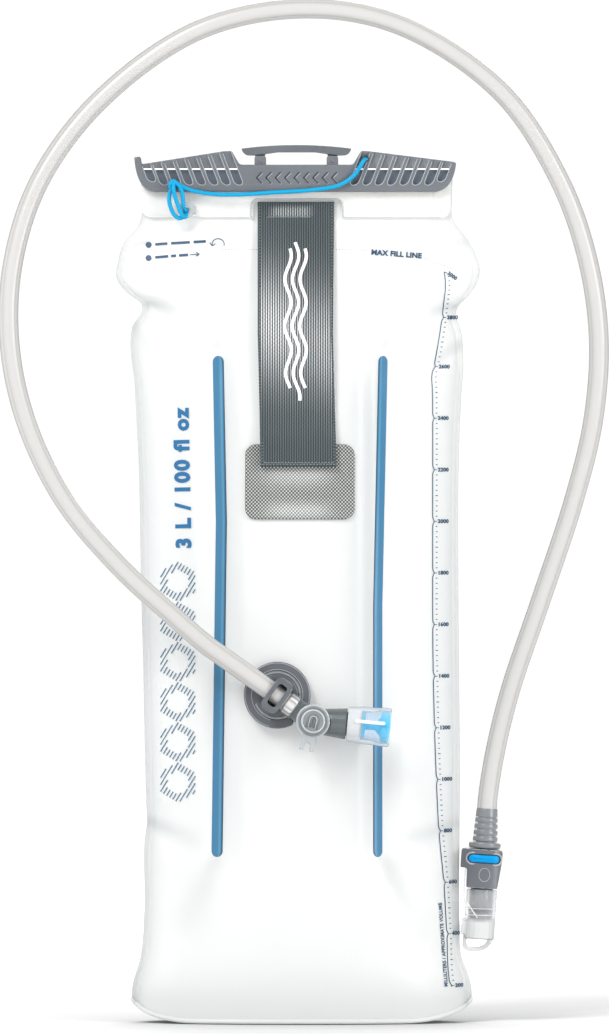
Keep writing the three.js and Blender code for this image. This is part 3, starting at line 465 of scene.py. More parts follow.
class Nodes:
    """Short calls for building one material's node tree."""

    def __init__(self, name):
        self.material = bpy.data.materials.new(name)
        self.material.use_nodes = True
        self.tree = self.material.node_tree
        self.tree.nodes.clear()
        self.output = self.tree.nodes.new("ShaderNodeOutputMaterial")
        self._object = None

    def add(self, kind, inputs=None, **settings):
        node = self.tree.nodes.new(kind)
        for key, value in settings.items():
            setattr(node, key, value)
        for key, value in (inputs or {}).items():
            self.feed(node.inputs[key], value)
        return node

    def feed(self, socket, value):
        if isinstance(value, bpy.types.NodeSocket):
            self.tree.links.new(value, socket)
        elif isinstance(value, (tuple, list)) and len(value) == 3 and socket.type == "RGBA":
            socket.default_value = (*value, 1.0)
        else:
            socket.default_value = value

    def coordinates(self):
        if self._object is None:
            self._object = self.add("ShaderNodeTexCoord").outputs["Object"]
        return self._object

    def math(self, operation, a, b=0.0, clamp=False):
        node = self.add("ShaderNodeMath", operation=operation, use_clamp=clamp)
        self.feed(node.inputs[0], a)
        self.feed(node.inputs[1], b)
        return node.outputs[0]

    def mix(self, factor, a, b):
        node = self.add("ShaderNodeMix", data_type="RGBA")
        self.feed(node.inputs[0], factor)
        self.feed(node.inputs[6], a)
        self.feed(node.inputs[7], b)
        return node.outputs[2]

    def noise(self, scale, detail=3.0, vector=None):
        node = self.add("ShaderNodeTexNoise", {"Scale": scale, "Detail": detail})
        self.feed(node.inputs["Vector"], vector or self.coordinates())
        return node.outputs["Fac"]

    def ramp(self, value, stops):
        node = self.add("ShaderNodeValToRGB", {"Fac": value})
        elements = node.color_ramp.elements
        while len(elements) < len(stops):
            elements.new(0.5)
        for element, (position, colour) in zip(elements, stops):
            element.position = position
            element.color = (*colour, 1.0)
        return node.outputs["Color"]

    def bump(self, height, strength, distance, normal=None):
        node = self.add("ShaderNodeBump", {"Height": height, "Strength": strength, "Distance": distance})
        if normal:
            self.feed(node.inputs["Normal"], normal)
        return node.outputs["Normal"]

    def painted(self, name):
        """A value painted on the mesh's points."""
        return self.add("ShaderNodeAttribute", attribute_name=name).outputs["Fac"]

    def facing(self, blend=0.5):
        """0 where the surface faces the eye, 1 where it turns away."""
        return self.add("ShaderNodeLayerWeight", {"Blend": blend}).outputs["Facing"]

    def times_add(self, value, factor, offset):
        node = self.math("MULTIPLY_ADD", value, factor).node
        node.inputs[2].default_value = offset
        return node.outputs[0]

    def layered(self, share, under, over):
        return self.add("ShaderNodeMixShader", {0: share, 1: under.outputs[0], 2: over.outputs[0]})

    def finish(self, shader):
        """The material. Its glow is faint, so it isn't sampled as a lamp, which would only add noise."""
        self.feed(self.output.inputs["Surface"], shader.outputs[0])
        self.material.cycles.emission_sampling = "NONE"
        return self.material

    def principled(self, inputs):
        return self.finish(self.add("ShaderNodeBsdfPrincipled", inputs))


def srgb(code):
    """A linear colour from a six-digit hexadecimal code."""
    channels = [int(code[i:i + 2], 16) / 255 for i in (0, 2, 4)]
    return tuple(c / 12.92 if c <= 0.04045 else ((c + 0.055) / 1.055) ** 2.4 for c in channels)


def moulded(name, colour, roughness=0.42, grain=1.0, coat=0.0, glow=0.0, shine=0.5):
    """Moulded plastic: slight cloudy colour, fine spark-eroded grain, softer and shinier in patches; glow,
    where given, is painted light.
    """
    n = Nodes(name)
    base = srgb(colour)
    light = tuple(min(1.0, c * 1.22) for c in base)
    dark = tuple(c * 0.84 for c in base)
    cloud = n.noise(55.0, 4.0)
    fine = n.noise(2200.0, 2.0)
    tone = n.mix(cloud, dark, light)
    tone = n.mix(n.math("MULTIPLY", fine, 0.3 * grain), tone, light)
    gloss = n.times_add(cloud, 0.16, roughness - 0.08)
    return n.principled({
        "Base Color": tone, "Roughness": gloss, "Coat Weight": coat, "Coat Roughness": 0.2,
        # glow is painted light: the part shines though no lamp lights it.
        "Specular IOR Level": shine, "Emission Color": tone, "Emission Strength": glow,
        "Normal": n.bump(fine, 0.22 * grain, 0.0003),
    })


def milky(name, colour, shadow, clear, roughness, edge, painted=0.0, rim=0.3, glow=0.0):
    """Frosted clear moulding: partly see-through, with a glossy skin and painted shade that greys its edges
    where it turns away; with glow, its frosted parts glow as painted light.
    """
    n = Nodes(name)
    ripple = n.bump(n.noise(150.0, 3.0), 0.12, 0.0005)
    facing = n.facing()
    # Painted shade: the colour goes to the shadow colour where the surface turns away.
    turn = n.math("MULTIPLY", n.math("POWER", facing, 1.6), edge, clamp=True)
    tone = n.mix(turn, srgb(colour), srgb(shadow))
    frost_and_glow = n.painted("frost_and_glow")
    skin = n.add("ShaderNodeBsdfPrincipled", {
        "Base Color": tone, "Roughness": roughness, "Normal": ripple, "Emission Color": tone,
        # Painted light: the frosted parts glow by the glow setting.
        "Emission Strength": n.math("MULTIPLY", n.math("POWER", frost_and_glow, 6.0), glow),
    })
    passed = n.add("ShaderNodeBsdfTranslucent", {"Color": tone})
    body = n.layered(0.3, skin, passed)
    see = n.add("ShaderNodeBsdfTransparent", {"Color": (0.97, 0.975, 0.98)})
    cloud = n.math("MULTIPLY", n.noise(90.0, 3.0), 0.2)
    opacity = n.math("ADD", n.math("MULTIPLY", facing, rim), 1 - clear - 0.1)
    opacity = n.math("ADD", opacity, cloud, clamp=True)
    if painted:
        opacity = n.math("ADD", opacity, n.math("MULTIPLY", frost_and_glow, painted), clamp=True)
    return n.finish(n.layered(opacity, see, body))


def film_material():
    """Milky film: passes and scatters light, with painted shade, bluer where the painted shade attribute says
    so and where it turns away, and a faint painted glow.
    """
    n = Nodes("film")
    shade = n.painted("shade")
    turn = n.facing()
    turn = n.math("MULTIPLY", n.math("POWER", turn, 3.0), 0.36)
    shade = n.math("ADD", shade, turn, clamp=True)
    colour = n.mix(shade, (0.90, 0.905, 0.90), srgb("939c9f"))
    grain = n.bump(n.noise(900.0, 3.0), 0.05, 0.0002)
    waves = n.bump(n.noise(26.0, 2.0), 0.12, 0.004, grain)
    skin = n.add("ShaderNodeBsdfPrincipled", {
        "Base Color": colour, "Roughness": 0.32, "Normal": waves, "Emission Color": colour,
        # Painted light: a faint even glow that brightens the film.
        "Emission Strength": 0.10,
    })
    through_light = n.add("ShaderNodeBsdfTranslucent", {"Color": colour, "Normal": waves})
    body = n.layered(0.35, skin, through_light)
    see = n.add("ShaderNodeBsdfTransparent", {"Color": (0.985, 0.985, 0.98)})
    opacity = n.times_add(n.facing(0.35), 0.2, 0.78)
    return n.finish(n.layered(opacity, see, body))


def woven(name, dark, light, pitch, rise=None, lift=0.5, sheen=0.3, lean=0.0, painted_highlight=0.0, crisp=0.75):
    """Open weave: pale yarn floats in a diagonal lattice over darker ground, pitch by rise millimetres."""
    n = Nodes(name)
    axes = n.add("ShaderNodeSeparateXYZ", {0: n.coordinates()})
    turns = 2 * math.pi / (pitch * MM)
    ups = 2 * math.pi / ((rise or pitch) * MM)
    x, z = axes.outputs["X"], axes.outputs["Z"]
    across, along, doubled = (
        n.math("SINE", n.math("MULTIPLY", axis, rate)) for axis,
        rate in ((x, turns), (z, ups), (x, turns * 2)))
    floats = n.math("MULTIPLY", n.math("MULTIPLY", across, along), 1 - lean)
    ribs = n.math("MULTIPLY", doubled, lean)
    height = n.math("ADD", n.math("MULTIPLY", n.math("ADD", floats, ribs), crisp), lift)
    fuzz = n.noise(1700.0, 3.0)
    height = n.math("ADD", height, n.math("MULTIPLY", n.math("SUBTRACT", fuzz, 0.5), 0.4), clamp=True)
    patches = n.noise(30.0, 3.0)
    tone = n.mix(height, srgb(dark), srgb(light))
    # Painted highlight: the weave turns paler where the painted highlight attribute is set.
    if painted_highlight:
        highlight_mask = n.painted("painted_highlight")
        half_way = tuple(0.5 * (a + b) for a, b in zip(srgb(dark), srgb(light)))
        pale = n.mix(height, half_way, (0.84, 0.84, 0.84))
        tone = n.mix(n.math("MULTIPLY", highlight_mask, painted_highlight, clamp=True), tone, pale)
    tone = n.mix(n.math("MULTIPLY", patches, 0.22), tone, srgb(light))
    return n.principled({
        "Base Color": tone, "Roughness": 0.55, "Sheen Weight": sheen, "Sheen Roughness": 0.4,
        "Normal": n.bump(height, 0.8, 0.0004),
    })


def weld_material():
    """Blue fabric seen through film: even colour, painted shade along the inner edge with a painted highlight
    band beside it, a soft gloss.
    """
    n = Nodes("baffle_weld")
    edge = n.painted("edge")
    mottled = n.noise(120.0, 4.0)
    # Painted shade where the edge value is above 0, painted highlight where it is below.
    line = n.mix(n.math("GREATER_THAN", edge, 0.0), srgb("5a97b8"), srgb("12384f"))
    tone = n.mix(n.math("ABSOLUTE", edge), srgb("3a7396"), line)
    tone = n.mix(n.math("MULTIPLY", mottled, 0.3), tone, srgb("2a6080"))
    return n.principled({
        "Base Color": tone, "Roughness": 0.42, "Normal": n.bump(n.noise(700.0, 3.0), 0.15, 0.0002),
    })


def print_material(name, colour):
    """Screen-printed ink, slightly uneven."""
    n = Nodes(name)
    base = srgb(colour)
    tone = n.mix(n.noise(600.0, 3.0), base, tuple(min(1.0, c * 1.25 + 0.01) for c in base))
    return n.principled({"Base Color": tone, "Roughness": 0.5})


def tube_material():
    """Clear soft hose, lit by painted colour that follows the viewing angle: a painted highlight in the
    middle, a painted line where the bore's wall turns, painted shade towards its edges.
    """
    n = Nodes("tube")
    skin = n.bump(n.noise(90.0, 1.0), 0.05, 0.0008)
    facing = n.facing()
    # Painted light and shade by how far the surface turns from the eye.
    tone = n.ramp(facing, [
        (0.0, (0.53, 0.525, 0.515)), (0.10, (0.51, 0.505, 0.49)), (0.20, (0.44, 0.432, 0.42)),
        (0.26, (0.39, 0.382, 0.37)), (0.31, (0.51, 0.505, 0.49)), (0.46, (0.48, 0.472, 0.46)),
        (0.66, (0.40, 0.392, 0.38)), (0.84, (0.28, 0.274, 0.264)), (0.96, (0.42, 0.415, 0.405)),
    ])
    cloud = n.noise(40.0, 3.0)
    tone = n.mix(n.math("MULTIPLY", cloud, 0.15), tone, (0.42, 0.41, 0.40))
    return n.principled({
        "Base Color": tone, "Roughness": 0.3, "Normal": skin,
    })


def ferrule_material():
    """Clear ferrule: bright and dark streaks along the tube, as light bends through it."""
    n = Nodes("ferrule")
    facing = n.facing()
    tone = n.ramp(facing, [
        (0.0, (0.62, 0.62, 0.62)), (0.07, (0.30, 0.30, 0.30)), (0.13, (0.75, 0.75, 0.75)),
        (0.3, (0.18, 0.18, 0.185)),
        (0.45, (0.5, 0.5, 0.5)), (0.62, (0.12, 0.12, 0.125)), (0.85, (0.34, 0.34, 0.34)),
    ])
    return n.principled({
        "Base Color": tone, "Roughness": 0.1, "Coat Weight": 0.6,
        "Normal": n.bump(n.noise(400.0, 3.0), 0.05, 0.0003),
    })


def cord_material():
    """Smooth elastic cord with a fine braid."""
    n = Nodes("cord")
    braid = n.add("ShaderNodeTexWave", {"Scale": 520.0, "Distortion": 1.0, "Detail": 1.0},
                  bands_direction="DIAGONAL")
    n.feed(braid.inputs["Vector"], n.coordinates())
    tone = n.mix(n.math("MULTIPLY", braid.outputs["Fac"], 0.6), srgb("008dbb"), srgb("00aedd"))
    return n.principled({
        "Base Color": tone, "Roughness": 0.45, "Specular IOR Level": 0.25,
        "Normal": n.bump(braid.outputs["Fac"], 0.12, 0.0002),
    })


def brushed_metal():
    n = Nodes("pin_steel")
    streaks = n.noise(900.0, 2.0)
    return n.principled({
        "Base Color": (0.2, 0.205, 0.21), "Metallic": 0.9, "Roughness": n.times_add(streaks, 0.2, 0.5),
    })


FILM, WELD, TUBE = film_material(), weld_material(), tube_material()
CORD, FERRULE, PIN = cord_material(), ferrule_material(), brushed_metal()

# The second colour of each frosted or clear material is its painted shade where it turns away.
FROSTED = milky("frosted_strip", "fdfdfb", "c6cbce", clear=0.2, roughness=0.45, edge=0.35)
CLEAR = milky("clear_plastic", "d6dadd", "6d747a", clear=0.6, roughness=0.06, edge=1.0)
CLEAR_PORT = milky("clear_port", "e9eaea", "8d9191", clear=0.82, roughness=0.06, edge=0.8, painted=0.85)
CLEAR_LEVER = milky("clear_lever", "cbd0d3", "727a7f", clear=0.52, roughness=0.05, edge=1.0, rim=0.6)
# glow makes the frosted parts of the sheath glow: painted light.
CLEAR_SOFT = milky("clear_silicone", "f0f2f4", "8a9197", clear=0.94, roughness=0.05, edge=0.9, painted=1.0,
                   rim=0.35, glow=0.62)

GREY = moulded("grey_plastic", "63676d", roughness=0.33)
# A lighter copy of the grey plastic: painted highlight on rounded edges, lips and rings.
GREY_HIGHLIGHT = moulded("grey_plastic_highlight", "9a9ea3", roughness=0.3, grain=0.4)
# A darker copy of the grey plastic: painted shade on the floors of the deep grip recesses.
GREY_RECESS_SHADE = moulded("grey_plastic_recess_shade", "57606c", roughness=0.4)
GREY_DARK = moulded("dark_plastic", "535a5b", roughness=0.28, coat=0.3)
GREY_CLIP = moulded("clip_plastic", "575b61", roughness=0.24, coat=0.4)
BODY = moulded("connector_plastic", "5c6066", roughness=0.3, grain=0.6, coat=0.35)
BARREL = moulded("seen_barrel", "7c8187", roughness=0.22, grain=0.2, coat=0.5)
# Lit and shaded copies of the knob's grey for its rings: painted highlight and painted shade.
KNOB_HIGHLIGHT = moulded("knob_painted_highlight", "b4b8bb", roughness=0.2, grain=0.2, coat=0.4)
SHADED = moulded("knob_shade", "6f767a", roughness=0.25, grain=0.2)
RELIEF_DARK = moulded("relief_dark", "3c4046", roughness=0.4)
# Near-white plastic that glows: a painted highlight for the grips' ledge.
LEDGE_HIGHLIGHT = moulded("ledge_painted_highlight", "f0f0ee", roughness=0.3, grain=0.2, glow=0.3)
BOOT = moulded("boot_rubber", "75797d", roughness=0.34, grain=0.4, coat=0.5)
WINDOW = moulded("boot_window", "cfcbc0", roughness=0.5, grain=0.2)
BUTTON = moulded("button_blue", "0090d2", roughness=0.4, grain=0.2, shine=0.15)
SILICONE = moulded("plug_silicone", "3cc0ec", roughness=0.35, grain=0.2, shine=0.25)
SEAL = moulded("seal_rubber", "26282a", roughness=0.6)

WEBBING = woven("webbing", "161d20", "505c60", pitch=2.3, rise=1.9, lift=0.4, sheen=0.05, lean=0.75,
                painted_highlight=1.0,
                crisp=1.2)
SELVEDGE = woven("selvedge", "12191b", "566265", pitch=2.3, rise=1.5, sheen=0.05, lean=0.2, crisp=1.2)
PATCH_WEAVE = woven("patch_weave", "030404", "bcc0bd", pitch=1.66, rise=1.73, lift=0.3, sheen=0.03, painted_highlight=1.0,
                    crisp=2.0)
BAFFLE_CLOTH = woven("baffle_cloth", "3f7391", "7ba6bf", pitch=1.6, sheen=0.1)
THREAD = woven("thread", "4d585c", "a9b2b5", pitch=0.5)

INK_DARK = print_material("ink_dark", "0f3c5a")
INK_BLUE = print_material("ink_blue", "005c8c")
INK_GREY = print_material("ink_grey", "41627a")
INK_WHITE = print_material("ink_white", "eceeee")

# ---------------------------------------------------------------- bag film

def paint(obj, name, values):
    attribute = obj.data.attributes.new(name, "FLOAT", "POINT")
    attribute.data.foreach_set("value", np.asarray(values, np.float32))


def film_shade(x, z):
    """Painted grey-blue shade on the film: between the baffles, in the folds, along the seams and low down
    near the base.
    """
    column = smoothstep(60, 130, z) * (1 - smoothstep(290, 340, z))
    right = 0.26 * np.exp(-((np.minimum(0, x - 36) / 13) ** 2)) * (x < 39) * column
    left = 0.12 * np.exp(-((np.maximum(0, x + 36) / 7) ** 2)) * (x > -39) * column
    edge = np.minimum(x - left_edge(z), right_edge(z) - x)
    rim = 0.26 * np.exp(-((edge / 1.6) ** 2)) + 0.06 * np.exp(-((edge / 9) ** 2))
    low = 0.12 * (1 - smoothstep(4, 34, z))
    folds = np.clip(-crease_height(x, z) * 0.12, 0, 0.24)
    return np.clip(right + left + rim + low + folds, 0, 1)


def build_film(side, name, columns=200, rows=330):
    """One wall of the bag from its bottom weld to the neck, with the flat seam at both edges."""
    across = np.linspace(-1, 1, columns - 3)
    share = np.sin(across * math.pi / 2) * 0.55 + across * 0.45
    seam = np.array([1.0, 1.0])
    share = np.concatenate([-seam, share, seam])
    in_seam = np.zeros(columns + 1)
    in_seam[[0, 1]] = [1, 0.5]
    in_seam[[-1, -2]] = [1, 0.5]
    level = np.concatenate([np.linspace(0, 20, 22), np.linspace(20, NECK_TOP, rows - 20)[1:]])
    s, v = np.meshgrid(share, level)
    flat = np.broadcast_to(in_seam, s.shape)
    seam_out = np.sign(s) * flat * SEAM_WIDTH
    middle, half = bag_width(CORNER_Z)
    bottom = base_height(middle + s * half + seam_out) + 1.2
    z = v + bottom * np.maximum(0, 1 - v / 80)
    middle, half = bag_width(z)
    x = middle + s * half + seam_out
    y = np.where(flat > 0, SEAM_FACE, film_depth(middle + s * half, z, side))
    vertices = np.stack([x, side * y, z], axis=-1).reshape(-1, 3)
    obj = piece(name, vertices, grid_faces(columns, len(level) - 1, flip=side > 0), FILM)
    paint(obj, "shade", film_shade(vertices[:, 0], vertices[:, 2]) * (1.0 if side < 0 else 0.9))
    solidify(obj, FILM_WALL, -1.0)
    return attach(obj, "reservoir", "film")


def build_base():
    """The base panel: flat in the middle, turned up at the corners, with a weld lip all round."""
    columns, rows = 120, 24
    across = np.sin(np.linspace(-1, 1, columns + 1) * math.pi / 2)
    share, v = np.meshgrid(across, np.linspace(-1, 1, rows + 1))
    x = np.where(share < 0, -share * left_edge(CORNER_Z), share * right_edge(CORNER_Z))
    depth = film_depth(np.clip(x, left_edge(0) + SEAM_WIDTH, right_edge(0) - SEAM_WIDTH), 0 * x)
    edge = 1.0 + 0.012 * (np.abs(v) > 0.98)
    y = v * depth * edge
    sag = 0.9 * np.abs(v) ** 8
    z = base_height(x) + 0.75 + sag
    vertices = np.stack([x, y, z], axis=-1).reshape(-1, 3)
    obj = piece("base_film", vertices, grid_faces(columns, rows), FILM)
    paint(obj, "shade", 0.1 + 0 * vertices[:, 0])
    solidify(obj, FILM_WALL, -1.0)
    return attach(obj, "reservoir", "film")


front_film = build_film(-1, "front_film")
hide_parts("front_panel")
back_film = build_film(1, "back_film")
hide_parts("back_panel")
base_film = build_base()
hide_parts("base_panel")


def build_base_weld():
    """The rounded weld where the walls meet the base."""
    angle = np.linspace(0, 2 * math.pi, 240, endpoint=False)
    x = np.sin(angle)
    x = np.where(x < 0, -x * (left_edge(CORNER_Z) + 0.6), x * (right_edge(CORNER_Z) - 0.6))
    inner = np.clip(x, left_edge(0) + SEAM_WIDTH, right_edge(0) - SEAM_WIDTH)
    y = np.sign(np.cos(angle)) * film_depth(inner, 0 * inner) * np.minimum(1, np.abs(np.cos(angle)) * 4)
    z = base_height(x) + 1.15
    ring = np.stack([x, y, z], axis=-1)
    outward = ring * [1, 1, 0]
    outward /= np.linalg.norm(outward, axis=1)[:, None]
    section = [(-0.3, -0.7), (1.1, -0.6), (1.3, 0.3), (0.9, 1.4), (-0.3, 1.6)]
    layers = [ring + outward * out + [0, 0, up] for out, up in section]
    vertices = np.stack(layers, axis=1).reshape(-1, 3)
    faces = np.array(ring_faces(len(section), len(ring) + 1)) % len(vertices)
    obj = piece("base_weld", vertices, faces, FILM)
    paint(obj, "shade", np.full(len(vertices), 0.06))
    attach(obj, "reservoir", "film")


build_base_weld()


# ---------------------------------------------------------------- baffles

def weld_centre(side, z):
    """Where a weld runs on the front, as x against height."""
    if side < 0:
        return np.interp(z, [80, 240, 319.5], [-39.4, -37.3, -38.9])
    return np.interp(z, [78, 200, 319.5], [37.4, 37.4, 40.0])


def build_baffle(side, node):
    """The web inside the bag and its welds on both walls, which show through the film as blue strips."""
    z = np.interp((1 - np.cos(np.linspace(0, math.pi, 150))) / 2, [0, 1], BAFFLE_Z)
    taper = np.minimum(1, np.minimum(z - z[0], z[-1] - z) / 3.0)
    taper = np.sqrt(np.clip(1 - (1 - taper) ** 2, 0.001, 1))
    for wall, width, tag in ((-1, 5.3 if side < 0 else 4.4, "_weld"), (1, 4.6, "_weld_back")):
        s, zz = np.meshgrid(np.linspace(-1, 1, 13), z)
        middle = side * (BAFFLE_X - BAFFLE_LEAN) + 0.4 * np.sin(zz / 37)
        if wall < 0:
            middle = weld_centre(side, zz)
        x = middle + s * width / 2 * taper[:, None]
        y = wall * (film_depth(x, zz, wall) + 0.12 * (1 - s ** 2) + 0.06)
        vertices = np.stack([x, y, zz], axis=-1).reshape(-1, 3)
        weld = piece(node + tag, vertices, grid_faces(12, len(z) - 1, flip=wall > 0), WELD)
        inner = np.clip(-side * s, -1, 1).ravel()
        # Painted highlight band and painted shade along the strip's side towards the middle of the bag.
        pale = 0.6 * smoothstep(0.1, 0.3, inner) * (1 - smoothstep(0.5, 0.62, inner))
        paint(weld, "edge", smoothstep(0.62, 0.9, inner) - pale)
        solidify(weld, 0.3, -1.0)
        attach(weld, "reservoir", "baffle")

    rows = np.linspace(BAFFLE_Z[0], BAFFLE_Z[1], 60)
    v, zz = np.meshgrid(np.linspace(0, 1, 25), rows)
    front = -(film_depth(side * BAFFLE_X + 0 * rows, rows, -1) - 1.2)
    back = film_depth(side * (BAFFLE_X - BAFFLE_LEAN) + 0 * rows, rows, 1) - 1.2
    bow = 1.2 * np.sin(v * math.pi) * np.sin((zz - BAFFLE_Z[0]) / 40)
    x = side * (BAFFLE_X - BAFFLE_LEAN * v) + bow
    y = front[:, None] + (back - front)[:, None] * v
    vertices = np.stack([x, y, zz], axis=-1).reshape(-1, 3)
    web = piece(node + "_web", vertices, grid_faces(24, len(rows) - 1), BAFFLE_CLOTH)
    solidify(web, 0.4)
    attach(web, "reservoir", "baffle", node)


build_baffle(-1, "baffle_left")
build_baffle(1, "baffle_right")


# ---------------------------------------------------------------- hand strap

def strap_stand(z):
    """How far the strap's back is off the film."""
    over_patch = 1.7 * (1 - smoothstep(PATCH["z"][1] + 1, PATCH["z"][1] + 14, z))
    bow = 2.2 * np.sin(np.clip((z - 285) / (STRAP_Z[1] - 285), 0, 1) * math.pi) ** 1.2
    return 0.4 + over_patch + bow


def strap_centre(z):
    return np.interp(z, [STRAP_Z[0], 330, STRAP_Z[1]], [-0.4, -2.0, -1.7])


def strap_back(x, z, share):
    """Depth of the strap's back, slightly cupped, share being -1 to 1 across it."""
    film = 0.75 * film_depth(strap_centre(z) + 0 * x, z) + 0.25 * film_depth(x, z)
    return film + strap_stand(z) + 0.35 * np.cos(share * math.pi * 0.5)


def strap_painted_highlight(x, z):
    """Painted highlight where the strap catches the light, most on its left side, and a patch above the top
    bar tack.
    """
    band = np.exp(-(((z - 330 + 0.35 * (x + 2)) / 24) ** 2))
    side = 0.5 + 0.5 * np.exp(-(((x + 13) / 10) ** 2)) + 0.2 * np.exp(-(((x - 12) / 5) ** 2))
    tack_highlight = 0.45 * smoothstep(386.2, 387, z) * (1 - smoothstep(390, 392.5, z)) * (np.abs(x + 4.3) < 8.5)
    return np.clip(band * side + tack_highlight, 0, 1)


def build_strap():
    """Flat webbing with a thicker selvedge on each edge and a slight cup across its width."""
    rows = 150
    z = np.linspace(STRAP_Z[0], STRAP_Z[1], rows)
    u = np.array([-1, -0.985, -0.95, -0.92, -0.75, -0.5, -0.25, 0, 0.25, 0.5, 0.75, 0.92, 0.95, 0.985, 1])
    s, zz = np.meshgrid(u, z)
    half = STRAP_HALF - 0.25 * np.sin((zz - STRAP_Z[0]) / 31)
    x = strap_centre(zz) + s * half
    back = strap_back(x, zz, s)
    edge = smoothstep(0.90, 0.95, np.abs(s)) * (1 - smoothstep(0.97, 1.0, np.abs(s)))
    front = back + STRAP_THICK + 0.28 * edge
    outer = np.stack([x, -front, zz], axis=-1).reshape(-1, 3)
    inner = np.stack([x, -back, zz], axis=-1).reshape(-1, 3)
    columns = len(u) - 1
    count = len(outer)
    faces = grid_faces(columns, rows - 1) + grid_faces(columns, rows - 1, first=count, flip=True)
    width = columns + 1
    for i in range(columns):
        top = (rows - 1) * width
        faces.append([i + 1, i, count + i, count + i + 1])
        faces.append([top + i, top + i + 1, count + top + i + 1, count + top + i])
    for j in range(rows - 1):
        a, b = j * width, (j + 1) * width
        faces.append([a, b, count + b, count + a])
        faces.append([b + columns, a + columns, count + a + columns, count + b + columns])
    vertices = np.vstack([outer, inner])
    obj = piece("hand_strap", vertices, faces, WEBBING)
    # Painted highlight on the strap, paler where it catches the light.
    paint(obj, "painted_highlight", strap_painted_highlight(vertices[:, 0], vertices[:, 2]))
    obj.data.materials.append(SELVEDGE)
    for polygon in obj.data.polygons:
        centre = polygon.center / MM
        if abs(centre.x - strap_centre(centre.z)) > STRAP_HALF * 0.93:
            polygon.material_index = 1
    attach(obj, "reservoir", "webbing", "webbing_strap")


def rounded_outline(x0, x1, z0, z1, radius, steps=8):
    """Points round a rectangle with round corners, counterclockwise seen from the front."""
    centres = [(x1 - radius, z0 + radius, -90), (x1 - radius, z1 - radius, 0), (x0 + radius, z1 - radius, 90),
               (x0 + radius, z0 + radius, 180)]
    points = []
    for cx, cz, start in centres:
        for k in range(steps + 1):
            angle = math.radians(start + 90 * k / steps)
            points.append((cx + radius * math.cos(angle), cz + radius * math.sin(angle)))
    return np.array(points)


def front_patch(name, outline, lift, thickness, material, shine, cell):
    """A thin piece that lies on the front film inside an outline of (x, z) points."""
    work = bmesh.new()
    ring = [work.verts.new((x * MM, 0, z * MM)) for x, z in outline]
    work.faces.new(ring)
    low, high = outline.min(0), outline.max(0)
    for axis, start, stop in ((0, low[0], high[0]), (2, low[1], high[1])):
        for position in np.arange(start + cell, stop, cell):
            normal = Vector((axis == 0, 0, axis == 2))
            geometry = work.verts[:] + work.edges[:] + work.faces[:]
            bmesh.ops.bisect_plane(work, geom=geometry, plane_co=normal * (position * MM), plane_no=normal)
    mesh = bpy.data.meshes.new(name)
    work.to_mesh(mesh)
    work.free()
    co = np.array([v.co for v in mesh.vertices]) / MM
    co[:, 1] = -(film_depth(co[:, 0], co[:, 2]) + lift(co[:, 0], co[:, 2]))
    mesh.vertices.foreach_set("co", (co * MM).ravel())
    mesh.update()
    obj = add_object(name, mesh)
    mesh.materials.append(material)
    mesh.shade_smooth()
    # shine gives a painted highlight on the piece.
    paint(obj, "painted_highlight", shine(co[:, 0], co[:, 2]))
    solidify(obj, thickness)
    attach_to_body(obj, "reservoir")
    return obj


build_strap()

patch_left, patch_right = PATCH["x"] - PATCH["half"], PATCH["x"] + PATCH["half"]
patch_outline = rounded_outline(patch_left, patch_right, *PATCH["z"], PATCH["corner"])


def patch_painted_highlight(x, z):
    """Painted highlight under the strap's end and along the lower edge, with a darker dip between."""
    centre = np.exp(-(((x + 1) / 15) ** 4))
    upper = np.exp(-(((z - 262) / 4.8) ** 2))
    lower = np.exp(-(((z - 245.5) / 3.8) ** 2))
    return np.clip(centre * (0.62 * upper + 0.8 * lower), 0, 1)


def patch_lift(x, z):
    """Flat on the film, a little thicker at its welded rim, with two soft dents under the strap's end."""
    inset = np.minimum(z - PATCH["z"][0], PATCH["z"][1] - z)
    inset = np.minimum(PATCH["half"] - np.abs(x - PATCH["x"]), inset)
    rim = 0.3 * np.exp(-(((inset - 1.2) / 0.8) ** 2))
    dents = 0.25 * np.sin(x / 4.1) * np.exp(-(((z - 256) / 6) ** 2))
    return 0.75 + rim + dents


strap_patch = front_patch("strap_patch_cloth", patch_outline, patch_lift, 0.7, PATCH_WEAVE, patch_painted_highlight, 1.1)
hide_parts("strap_patch")


# ---------------------------------------------------------------- flat prints

def text_shapes(body, size, turn=0.0, place=(0.0, 0.0), align="LEFT", weight=0.02, spread=1.0, width=1.0):
    """Vertices and faces of generic lettering in the X-Z plane, size being the height of capitals."""
    curve = bpy.data.curves.new("text", "FONT")
    curve.body = body
    curve.size = 1.0
    curve.align_x = align
    curve.align_y = "CENTER"
    curve.resolution_u = 3
    curve.offset = weight
    curve.space_character = spread
    holder = add_object("text", curve)
    graph = bpy.context.evaluated_depsgraph_get()
    mesh = bpy.data.meshes.new_from_object(holder.evaluated_get(graph), depsgraph=graph)
    co = np.array([v.co for v in mesh.vertices])[:, :2] * [size / 0.7 * width, size / 0.7]
    faces = [list(p.vertices) for p in mesh.polygons]
    bpy.data.objects.remove(holder)
    c, s = math.cos(turn), math.sin(turn)
    co = co @ np.array([[c, s], [-s, c]]) + place
    return co, faces


def bar_shape(x0, z0, x1, z1, width):
    """A straight stroke between two points."""
    run = np.array([x1 - x0, z1 - z0], float)
    normal = np.array([-run[1], run[0]]) / np.linalg.norm(run) * width / 2
    a, b = np.array([x0, z0]), np.array([x1, z1])
    return np.array([a - normal, b - normal, b + normal, a + normal]), [[0, 1, 2, 3]]


